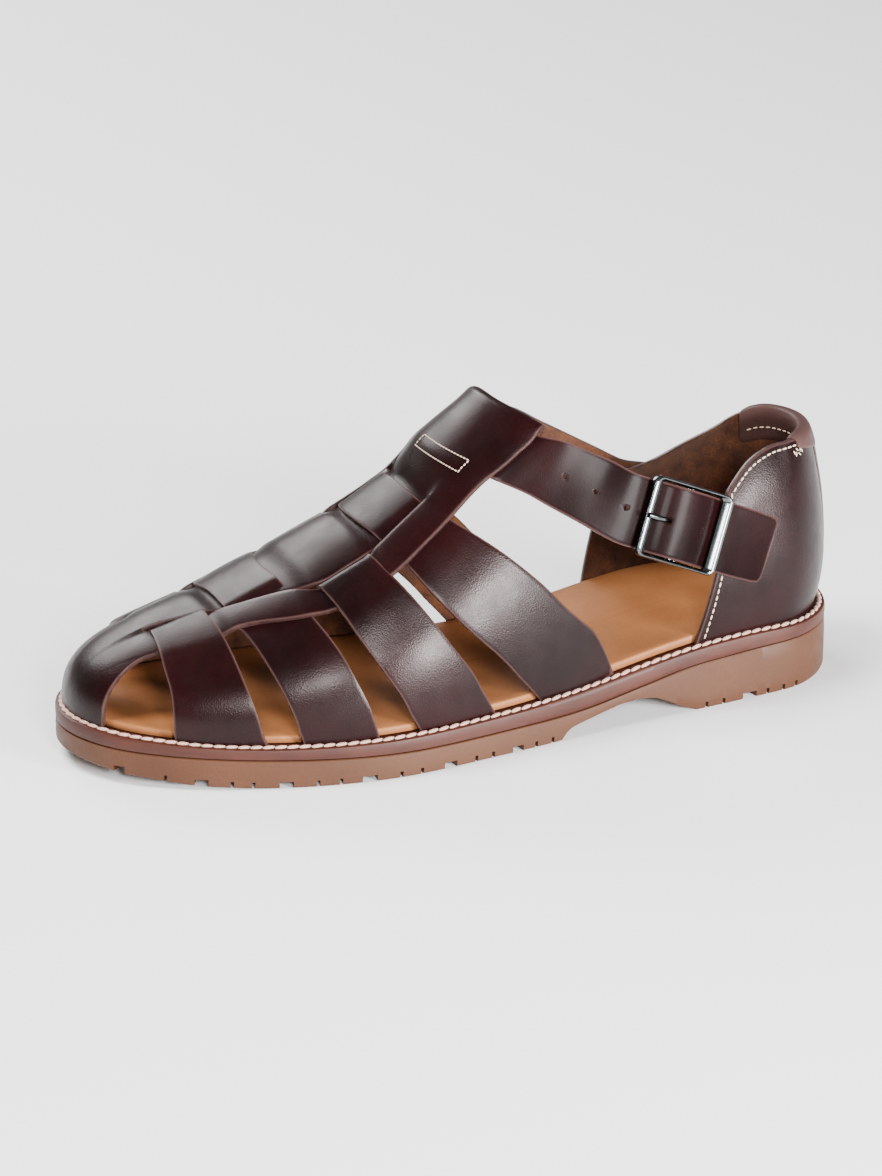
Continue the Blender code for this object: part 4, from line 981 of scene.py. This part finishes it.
# %% Cross straps
# v, then front and back edges of straps 1 to 4 in t
STRAPS = [
    (0.00, 267.0, 237.5, 225.5, 199.0, 183.5, 153.0, 134.5, 103.0),
    (0.07, 268.0, 240.0, 228.0, 202.0, 189.5, 161.5, 149.0, 118.5),
    (0.14, 268.0, 242.0, 231.0, 206.5, 196.5, 171.0, 162.5, 132.0),
    (0.22, 267.5, 243.5, 234.0, 210.5, 202.5, 179.0, 173.0, 146.5),
    (0.32, 267.0, 244.0, 236.5, 215.0, 207.0, 186.5, 180.5, 160.0),
    (0.40, 265.5, 244.0, 238.0, 217.0, 209.5, 190.0, 184.5, 167.0),
    (0.50, 264.0, 244.5, 238.0, 219.0, 211.0, 192.0, 187.0, 169.0),
]
UNDER_STRAND = (True, False, True, False)
REACH = 0.028  # how far beside an edge, in v, a strap starts to rise


def cross_strap(index):
    """One strap from the outer welt over the last to the inner welt."""
    rows = np.array(STRAPS, float)
    half = rows[:, [0, 1 + 2 * index, 2 + 2 * index]]
    mirrored = half[:-1][::-1].copy()
    mirrored[:, 0] = 1 - mirrored[:, 0]
    near, slit_near, slit_far, far = through(CENTRE, half[-1, 1:].mean())[1:5]
    high, low = (RISE, 0.0) if UNDER_STRAND[index] else (0.0, RISE)
    # Where the strap rises and sinks: v, lift
    steps = [
        (0, 0), (near - 4.2 * REACH, 0), (near - 0.2 * REACH, high), (slit_near - 0.3 * REACH, high),
        (slit_near + 0.8 * REACH, low), (slit_far - 0.8 * REACH, low), (slit_far + 0.3 * REACH, high),
        (far + 0.2 * REACH, high), (far + 4.2 * REACH, 0), (1, 0),
    ]
    v = np.linspace(0, 1, 161)
    edges = through(np.vstack([half, mirrored]), v)
    across = np.linspace(0, 1, 17)
    t = edges[:, :1] + (edges[:, 1:] - edges[:, :1]) * across
    lift = eased(steps, v)[:, None] + 0.3 * (1 - (2 * across - 1) ** 2)
    v_grid = np.broadcast_to(v[:, None], t.shape)
    wall = (lifted(t, v_grid, lift), lifted(t, v_grid, lift + WALL))
    sheet(f"cross_strap_{index + 1}", *wall, hide, replaces=("upper",), slot="upper_leather", bevel=0.4)


for index in range(4):
    cross_strap(index)

# %% [markdown]
# ## The heel counter
#
# The counter stands round the heel: two quarters of stiffened leather, lined with suede, that meet at the
# back. Its surface follows the feather line, set outwards by a profile that bellies and then leans in.

# %% The counter's surface
# Height above the welt, then how far out the heel's back and the sides are
COUNTER = [
    (0, -1.8, 0.0), (10, 1.1, 1.2), (20, 2.1, 1.5), (30, 1.7, 0.9), (40, 0.8, -0.6),
    (50, -0.8, -2.8), (60, -2.8, -5.4), (70, -5.8, -8.4), (80, -9.5, -12.0),
]
# The top edges: t, height above the welt
LATERAL_TOP = [(5, 68.0), (16, 67.8), (25, 67.4), (34.3, 66.2), (42.9, 62.6), (49.4, 57.2), (53.2, 53.5)]
MEDIAL_TOP = [
    (5, 68.0), (12, 66.5), (20, 62.5), (28, 58.2), (36.4, 54.5), (44.7, 51.0), (52.5, 47.6), (72, 45.0),
]
QUARTER_WALL = 2.0


def feather_side(half, outwards):
    """Arc length from the back seam, t, place and outward direction along half of the feather line."""
    xy = np.c_[half[:, 1], LENGTH / 2 - half[:, 0]]
    arc = run_of(xy)
    along = unit(np.gradient(xy, arc, axis=0))
    return arc, half[:, 0], xy, np.c_[-along[:, 1], along[:, 0]] * outwards


COUNTER_SIDES = [feather_side(half, outwards) for half, outwards in zip(FEATHER_SIDES, (1, -1))]


def counter(side, arc, z, out):
    """A place on the counter: arc from the back seam, z above the welt, out from its inner face."""
    arcs, ts, xy, outward = COUNTER_SIDES[side]
    arc, z = np.broadcast_arrays(np.asarray(arc, float), np.asarray(z, float))
    here = np.stack([np.interp(arc, arcs, xy[:, k]) for k in (0, 1)], -1)
    direction = unit(np.stack([np.interp(arc, arcs, outward[:, k]) for k in (0, 1)], -1))
    rows = through(COUNTER, z)
    back = np.clip(direction[..., 1], 0, 1) ** 2
    offset = rows[..., 0] * back + rows[..., 1] * (1 - back) + out
    t = np.interp(arc, arcs, ts)
    return np.concatenate([here + direction * offset[..., None], (welt_top(t) + z)[..., None]], -1)


def arc_at(side, t):
    arcs, ts, _, _ = COUNTER_SIDES[side]
    return np.interp(t, ts, arcs)


def topline_at(side, arc):
    """The counter's height above the welt at an arc."""
    arcs, ts, _, _ = COUNTER_SIDES[side]
    return through((LATERAL_TOP, MEDIAL_TOP)[side], np.interp(arc, arcs, ts))


# %% The two quarters
# For each side: the node, the front edge's t at the welt and at the top, and how far its top seam runs
QUARTERS = [
    ("quarter_lateral", 69.0, LATERAL_TOP[-1][0], 0.56),
    ("quarter_medial", 83.0, MEDIAL_TOP[-1][0], 0.72),
]
BACK_SEAM = 0.25  # half the gap between the quarters at the back
CURL, CURL_HEIGHT = 2.0, 15.0  # how far the top edge leans in beside the collar, and over which height


def quarter_grid(side, share, rise):
    """Arcs and heights over a quarter: share runs from the front to the back seam, rise from the welt up."""
    _, low_front, top_front, _ = QUARTERS[side]
    low, top = (arc_at(side, t) + (BACK_SEAM - arc_at(side, t)) * share for t in (low_front, top_front))
    arc = low[:, None] + (top - low)[:, None] * rise
    return arc, GAP + (topline_at(side, top)[:, None] - GAP) * rise


def curl(side, arc, z):
    """The top edge's lean, nothing under the collar and full further forward."""
    forward = np.clip((arc - 30) / 16, 0, 1)
    near_top = np.clip(1 - (topline_at(side, arc) - z) / CURL_HEIGHT, 0, 1)
    return -CURL * forward * forward * (3 - 2 * forward) * near_top**2


def quarter_place(side, arc, z, out):
    return counter(side, arc, z, out + curl(side, arc, z))


for side, (node, _, _, _) in enumerate(QUARTERS):
    grid = quarter_grid(side, np.linspace(0, 1, 70), np.linspace(0, 1, 44))
    wall = (quarter_place(side, *grid, 0), quarter_place(side, *grid, QUARTER_WALL))
    sheet(f"{node}_leather", *wall, hide, replaces=(node,), slot="upper_leather", bevel=0.45)

# %% [markdown]
# Fine cream stitching follows the quarters' front and top edges, a little over two millimetres in.

# %% Stitching on the quarters
SEAM_IN, SEAM_SHARE = 2.0, 0.034  # from the top edge in millimetres, from the front edge as a share
seams = []
for side, (_, _, _, seam_end) in enumerate(QUARTERS):
    arc, z = quarter_grid(side, np.full(1, SEAM_SHARE), np.linspace(0.03, 0.965, 40))
    top_arc, top_z = quarter_grid(side, np.linspace(SEAM_SHARE, seam_end, 50), np.ones(1))
    for line in ((arc[0], z[0]), (top_arc[:, 0], top_z[:, 0] - SEAM_IN)):
        path, above = (quarter_place(side, *line, QUARTER_WALL + out) for out in (0.08, 3))
        seams.append(stitches(path, above, pitch=2.5, radius=0.36, fill=0.82))
sew("quarter_stitching", seams, fine_thread, "upper_leather")

# %% [markdown]
# ## Backstay and collar
#
# A narrow strip covers the back seam. Above it a padded band is folded over the counter's top edge, so that
# nothing hard touches the ankle. The band is a loft of closed sections, one after another round the heel.

# %% Backstay and collar
BACKSTAY_HALF, BACKSTAY_THICK = 8.0, 1.0
COLLAR_REACH = (33.0, 30.0)  # how far it runs forward on each side
COLLAR_OUTSIDE, COLLAR_INSIDE, COLLAR_PAD, COLLAR_TAPER = 7.0, 13.5, 2.0, 2.6
PRESSED = 4  # sections at each end that are pressed flat
CLEAR = 1.5 * GAP


def around_back(reach_lateral, reach_medial, count):
    """Sides and arcs from one side of the heel round to the other."""
    return [(0 if arc >= 0 else 1, abs(arc)) for arc in np.linspace(reach_lateral, -reach_medial, count)]


def backstay():
    share = np.linspace(0, 1, 40)
    grids = []
    for out in (QUARTER_WALL + CLEAR, QUARTER_WALL + CLEAR + BACKSTAY_THICK):
        columns = []
        for side, arc in around_back(BACKSTAY_HALF, BACKSTAY_HALF, 19):
            z = GAP + (topline_at(side, arc) - COLLAR_OUTSIDE - 2 * GAP) * share
            columns.append(counter(side, arc, z, out))
        grids.append(np.stack(columns, 1))
    sheet("backstay_strip", *grids, hide, replaces=("backstay",), slot="upper_leather", bevel=0.3)


def collar():
    outside, inside, pad, wall = QUARTER_WALL + CLEAR, -CLEAR, -CLEAR - COLLAR_PAD, BACKSTAY_THICK
    rings = []
    for side, arc in around_back(*COLLAR_REACH, 70):
        top = topline_at(side, arc)
        # The outer flap grows narrow towards its ends
        forward = np.clip((COLLAR_REACH[side] - arc) / 16, 0, 1)
        flap = COLLAR_TAPER + (COLLAR_OUTSIDE - COLLAR_TAPER) * forward**0.7
        # Out from the counter's inner face, and height
        section = closed_curve([
            (outside, top - flap), (outside + wall * 0.9, top - flap + 0.3),
            (outside + wall + 0.1, top - flap * 0.45), (outside + wall * 0.8, top), (outside, top + 0.8),
            (QUARTER_WALL / 2, top + 1.2), (pad + 1.1, top + 0.6), (pad + 0.1, top - 1.0),
            (pad - 0.3, top - 3.5), (pad + 0.2, top - COLLAR_INSIDE * 0.6),
            (inside - 0.9, top - COLLAR_INSIDE + 0.4), (inside, top - COLLAR_INSIDE),
            (inside, top - COLLAR_INSIDE * 0.5), (inside, top + 1.2 * GAP), (outside, top + 1.2 * GAP),
            (outside, top - flap * 0.5),
        ], 48)
        rings.append(counter(side, arc, section[:, 1], section[:, 0]))
    # The ends are pressed flat where they are sewn down
    for k in range(PRESSED):
        squeeze = 0.82 + 0.18 * (k / PRESSED) ** 0.5
        for place in (k, -1 - k):
            middle = np.mean(rings[place], axis=0)
            rings[place] = middle + (rings[place] - middle) * squeeze
    band = add_piece("collar_band", loft(rings), [collar_leather], ("collar",), "collar_leather", sharp=50)


backstay()
collar()

# %% [markdown]
# One row of thread runs round the band's inside, and a short zigzag ties each end to the quarter.

# %% Stitching on the collar
round_back = around_back(COLLAR_REACH[0] - 3, COLLAR_REACH[1] - 3, 60)
levels = [topline_at(*spot) - COLLAR_INSIDE * 0.58 for spot in round_back]
inside = [
    np.array([counter(*spot, level, out) for spot, level in zip(round_back, levels)])
    for out in (-CLEAR - COLLAR_PAD + 0.05, -6)
]
rows = [stitches(*inside, pitch=2.6, radius=0.28, fill=0.75)]
steps = np.arange(6)
for side in (0, 1):
    arcs = COLLAR_REACH[side] + 3.0 - 1.3 * steps
    levels = topline_at(side, arcs) - 3.4 - 2.2 * (steps % 2)
    zigzag = (counter(side, arcs, levels, QUARTER_WALL + out) for out in (0.15, 3))
    rows.append(stitches(*zigzag, pitch=2.0, radius=0.3, fill=0.9))
sew("collar_stitching", rows, fine_thread, "collar_leather")

# %% [markdown]
# ## The ankle strap
#
# The strap is sewn to the inner quarter, passes through the tongue's loop, humps over the buckle's middle
# bar and lies along the outer quarter. Stations give its top and low edges, and smooth curves join them.

# %% The buckle's own axes
BUCKLE_T, BUCKLE_X, BUCKLE_Z = 76.5, 38.2, 72.3
BUCKLE_PITCH, BUCKLE_LEAN = math.radians(23.6), math.radians(12.0)
BUCKLE_LONG, BUCKLE_TALL, BUCKLE_BAR, BUCKLE_THICK, BUCKLE_H = 35.0, 30.0, 4.0, 2.8, 2.9


def buckle_axes():
    """Directions along the strap, across it, and outwards."""
    sin_p, cos_p = math.sin(BUCKLE_PITCH), math.cos(BUCKLE_PITCH)
    sin_l, cos_l = math.sin(BUCKLE_LEAN), math.cos(BUCKLE_LEAN)
    along = np.array([0, cos_p, -sin_p])
    outward = np.array([cos_l, sin_l * sin_p, sin_l * cos_p])
    return along, np.cross(outward, along), outward


def in_buckle(u, w, h):
    """A place from the buckle's middle: u along the strap, w across it, h outwards."""
    along, across, outward = buckle_axes()
    u, w, h = (np.asarray(a, float)[..., None] for a in (u, w, h))
    return np.array([BUCKLE_X, LENGTH / 2 - BUCKLE_T, BUCKLE_Z]) + along * u + across * w + outward * h


# %% The strap's path
STRAP_WALL, STRAP_WIDTH = 2.2, 26.0
# Over the buckle's bar: u, h
STRAP_IN_BUCKLE = [
    (-22, 0.0), (-17, 0.0), (-13, 0.1), (-10, 1.1), (-7, 2.5), (-3.5, 3.4), (0, 3.6), (3.5, 3.4),
    (7, 2.5), (10, 1.1), (13, 0.1), (17, 0.0), (21, 0.0),
]
# Free stretches beside the loop: t, x, z of the top edge, then of the low edge
STRAP_LATERAL = [
    (119.0, 28.4, 107.4, 134.5, 31.0, 90.6),
    (110.0, 30.2, 102.9, 126.0, 33.8, 85.0),
    (100.8, 32.0, 98.0, 116.6, 37.2, 79.0),
]
STRAP_MEDIAL = [
    (74.5, -32.2, 77.5, 86.0, -36.2, 54.2),
    (86.5, -31.0, 84.8, 100.0, -35.3, 63.0),
    (99.0, -28.5, 92.5, 113.5, -32.8, 71.5),
    (112.5, -24.5, 101.0, 129.0, -28.0, 82.5),
]
# In the loop: t of the top and the low edge, sweep and lift; then v
STRAP_IN_LOOP = (136.0, 154.3, 10.0, 2.35)
STRAP_LOOP_V = (0.66, 0.63, 0.57, 0.5, 0.43, 0.37, 0.34)
# On the inner quarter: t and height above the welt of the top edge, then of the low edge
STRAP_SEWN = [(54.0, 43.5, 60.0, 20.0), (63.5, 47.0, 71.5, 23.5)]
# On the outer quarter: u, width
FREE_END = [(26, 26), (33, 25.6), (37.2, 25), (39.2, 23.4), (40, 20.4)]


def on_counter(side, y, z, out):
    """The place beside the counter at a given y and z."""
    t = LENGTH / 2 - y
    return np.array([counter(side, arc_at(side, t), z - welt_top(t), out)[0], y, z])


def free_stations(rows):
    return [[(x, LENGTH / 2 - t, z) for t, x, z in (row[:3], row[3:])] for row in rows]


def strap_edges():
    """Top and low edge at every station, from the sewn end to the free end."""
    stations = []
    for row in STRAP_SEWN:
        edges = [(LENGTH / 2 - t, z + welt_top(t)) for t, z in (row[:2], row[2:])]
        stations.append([on_counter(1, *edge, QUARTER_WALL + GAP + 0.9) for edge in edges])
    stations += free_stations(STRAP_MEDIAL)
    top_t, low_t, sweep, lift = STRAP_IN_LOOP
    for v in STRAP_LOOP_V:
        stations.append([lifted(swept(t, sweep, v), v, lift) for t in (top_t, low_t)])
    stations += free_stations(STRAP_LATERAL)
    half = STRAP_WIDTH / 2
    stations += [[in_buckle(u, half, h), in_buckle(u, -half, h)] for u, h in STRAP_IN_BUCKLE]
    for u, width in FREE_END:
        edges = [in_buckle(u, side * width / 2, 0)[1:] for side in (1, -1)]
        stations.append([on_counter(0, *edge, QUARTER_WALL + GAP + 0.6) for edge in edges])
    return np.array(stations, float)


# %% The strap and its holes
# How far each hole lies from the buckle's middle, towards the free end, and its radius
HOLES = [(-6.5, 1.5), (7.0, 1.1), (-24.5, 1.1), (-37.0, 1.1), (-50.0, 1.1)]
STRAP_CELLS = 16
# The box of stitches on the sewn end, in rows and columns of the strap's grid
SEWN_BOX = [(10, 2), (10, 14), (4, 14), (4, 2), (10, 2)]


def ankle_strap():
    stations = strap_edges()
    run = run_of(stations.mean(1))
    at = np.interp(np.arange(0, len(run) - 1 + 1e-9, 1 / 6), np.arange(len(run)), run)
    top, low = (through(np.c_[run, stations[:, k]], at) for k in (0, 1))
    grid = top[:, None] + (low - top)[:, None] * np.linspace(0, 1, STRAP_CELLS + 1)[None, :, None]
    normal = unit(np.cross(np.broadcast_to((low - top)[:, None], grid.shape), np.gradient(grid, axis=0)))
    swell = crown(STRAP_CELLS, 0.25)[None, :, None]
    strap = sheet(
        "ankle_strap_leather", grid, grid + normal * (STRAP_WALL + swell), [shaded_strap_leather, suede, cut_edge],
        replaces=("ankle_strap",), slot="upper_leather", bevel=0.4,
    )
    # The inner end is sewn on with a box of stitches
    legs = [np.linspace(a, b, 8)[:-1] for a, b in zip(SEWN_BOX[:-1], SEWN_BOX[1:])]
    rows, columns = np.vstack(legs + [SEWN_BOX[-1:]]).round().astype(int).T
    path = (grid + normal * (STRAP_WALL + swell + 0.06))[rows, columns]
    sewn = stitches(path, path + normal[rows, columns], pitch=2.5, radius=0.33, fill=0.8)
    sew("strap_stitching", [sewn], fine_thread, "upper_leather")
    # The holes are punched along the middle line
    middle_run = run[-1 - len(FREE_END) - len(STRAP_IN_BUCKLE) // 2]
    line, facings = grid.mean(1), normal.mean(1)
    punches = []
    for hole, radius in HOLES:
        distance = middle_run + hole
        centre = place_at(distance, at, line)
        facing = Vector(place_at(distance, at, facings)).normalized()
        along = Vector(place_at(distance + 1, at, line) - centre).normalized()
        punch = bmesh.new()
        sizes = {"radius1": radius * MM, "radius2": radius * MM, "depth": 10 * MM}
        bmesh.ops.create_cone(punch, cap_ends=True, segments=20, **sizes)
        lay = laid(Vector(centre) + facing, (along, facing.cross(along), facing))
        bmesh.ops.transform(punch, matrix=lay, verts=punch.verts)
        punches.append(punch)
    cut(strap, joined(punches))


ankle_strap()

# %% [markdown]
# ## The buckle
#
# The frame is a rounded rectangle with a raised, bevelled face. It is lofted through closed rings, from its
# back over the outer edge and the face to the inner edge. A pin joins its long sides below the strap, and the
# prong turns on it, comes up through a hole and rests on the frame.

# %% Buckle frame and prong
PIN_RADIUS, PIN_H, PRONG_RADIUS = 1.3, 0.3, 1.0


def ring_frame(half_u, half_w, radius, h, corner=9):
    """A rectangle with round corners, at height h in the buckle."""
    points = []
    for k, (side_u, side_w) in enumerate(((1, 1), (-1, 1), (-1, -1), (1, -1))):
        for angle in np.linspace(0, np.pi / 2, corner) + k * np.pi / 2:
            u = side_u * (half_u - radius) + radius * np.cos(angle)
            points.append((u, side_w * (half_w - radius) + radius * np.sin(angle), h))
    return in_buckle(*np.array(points).T)


def rod(path, radius, segments=14):
    """A round bar along a path of u, w, h in the buckle."""
    path = np.array(path, float)
    heading = unit(np.gradient(path, axis=0))
    rings = []
    for centre, ahead in zip(path, heading):
        first = unit(np.cross(ahead, (0, 1.0, 0) if abs(ahead[1]) < 0.9 else (1.0, 0, 0)))
        second = np.cross(ahead, first)
        turn = np.linspace(0, 2 * np.pi, segments, endpoint=False)
        ring = centre + radius * (np.cos(turn)[:, None] * first + np.sin(turn)[:, None] * second)
        rings.append(in_buckle(*ring.T))
    return loft(rings)


out_u, out_w = BUCKLE_LONG / 2, BUCKLE_TALL / 2
in_u, in_w = out_u - BUCKLE_BAR, STRAP_WIDTH / 2 + 0.35
back, front = BUCKLE_H, BUCKLE_H + BUCKLE_THICK
# Half the length and width, the corners' radius, and h
sections = [
    (out_u - 0.3, out_w - 0.3, 3.2, back), (out_u, out_w, 3.3, back + 0.4), (out_u, out_w, 3.3, front - 1.0),
    (out_u - 0.35, out_w - 0.25, 3.1, front - 0.35), (out_u - 1.2, out_w - 0.6, 2.6, front),
    (out_u - 1.9, out_w - 0.9, 2.2, front - 0.1), (in_u + 0.5, in_w + 0.25, 1.6, front - 1.3),
    (in_u, in_w, 1.4, front - 1.7), (in_u, in_w, 1.4, back),
]
reach = out_w - 0.9
frame_parts = [
    loft([ring_frame(*row) for row in sections], closed=True),
    rod([(0, -reach, PIN_H), (0, 0, PIN_H), (0, reach, PIN_H)], PIN_RADIUS),
]
for w in (-reach + 0.1, reach - 0.1):
    frame_parts.append(rod([(0, w, PIN_H - 0.5), (0, w, 1.5), (0, w, back + 1.0)], 0.8))
add_piece("buckle_frame_metal", joined(frame_parts), [gunmetal], ("buckle_frame",), "buckle_metal", sharp=32)

# The prong's middle line from the pin to its tip: u, w, h
PRONG_PATH = [
    (-2.1, 0, PIN_H + 0.5), (-4.6, 0, 1.4), (-7.2, 0, 3.7), (-10, 0, 5.7), (-12.6, 0, 6.8), (-15, 0, 6.95),
    (-17.0, 0, 6.9),
]
steps = np.linspace(0, len(PRONG_PATH) - 1, 25)
smooth_path = through(np.c_[np.arange(len(PRONG_PATH)), PRONG_PATH], steps)
eye, wire = PIN_RADIUS + GAP, 0.42
eye_turn = np.linspace(0, 2 * np.pi, 33)
eye_path = [(eye * 1.28 * math.cos(a), 0, PIN_H + eye * 1.28 * math.sin(a)) for a in eye_turn]
prong = joined([rod(smooth_path, PRONG_RADIUS), rod(eye_path, wire)])
add_piece("buckle_prong_metal", prong, [gunmetal], ("buckle_prong",), "buckle_metal", sharp=40)

# %% [markdown]
# A short leather tab holds the buckle: it wraps the pin and runs back under the strap's free end.

# %% Buckle chape
CHAPE_HALF, CHAPE_THICK = 9.0, 1.2
# The tab's outline from the side, u and h: its tail, the round fold over the pin, and back
profile = [(12, -3.4), (26, -3.6), (26, -5.9), (12, -5.7), (6, -3.9)]
outer = eye + CHAPE_THICK
turns = np.radians(np.linspace(300, 60, 19))
profile += [(outer * math.cos(a), PIN_H + outer * math.sin(a)) for a in turns]
profile += [(5, -0.6)]
rings = [in_buckle(*np.array([(u, w, h) for u, h in profile]).T) for w in (-CHAPE_HALF, CHAPE_HALF)]
chape = add_piece("chape_leather", loft(rings), [leather], ("buckle_chape",), "upper_leather", sharp=40)
slot_box = box_at(in_buckle(-2.0, 0.0, 1.0), buckle_axes(), (9.0, 3.2, 9.0))
round_u, round_h = np.cos(eye_turn[:-1]), np.sin(eye_turn[:-1])
bore = loft([in_buckle(eye * round_u, w, PIN_H + eye * round_h) for w in (-CHAPE_HALF - 1, CHAPE_HALF + 1)])
cut(chape, slot_box)
cut(chape, bore)
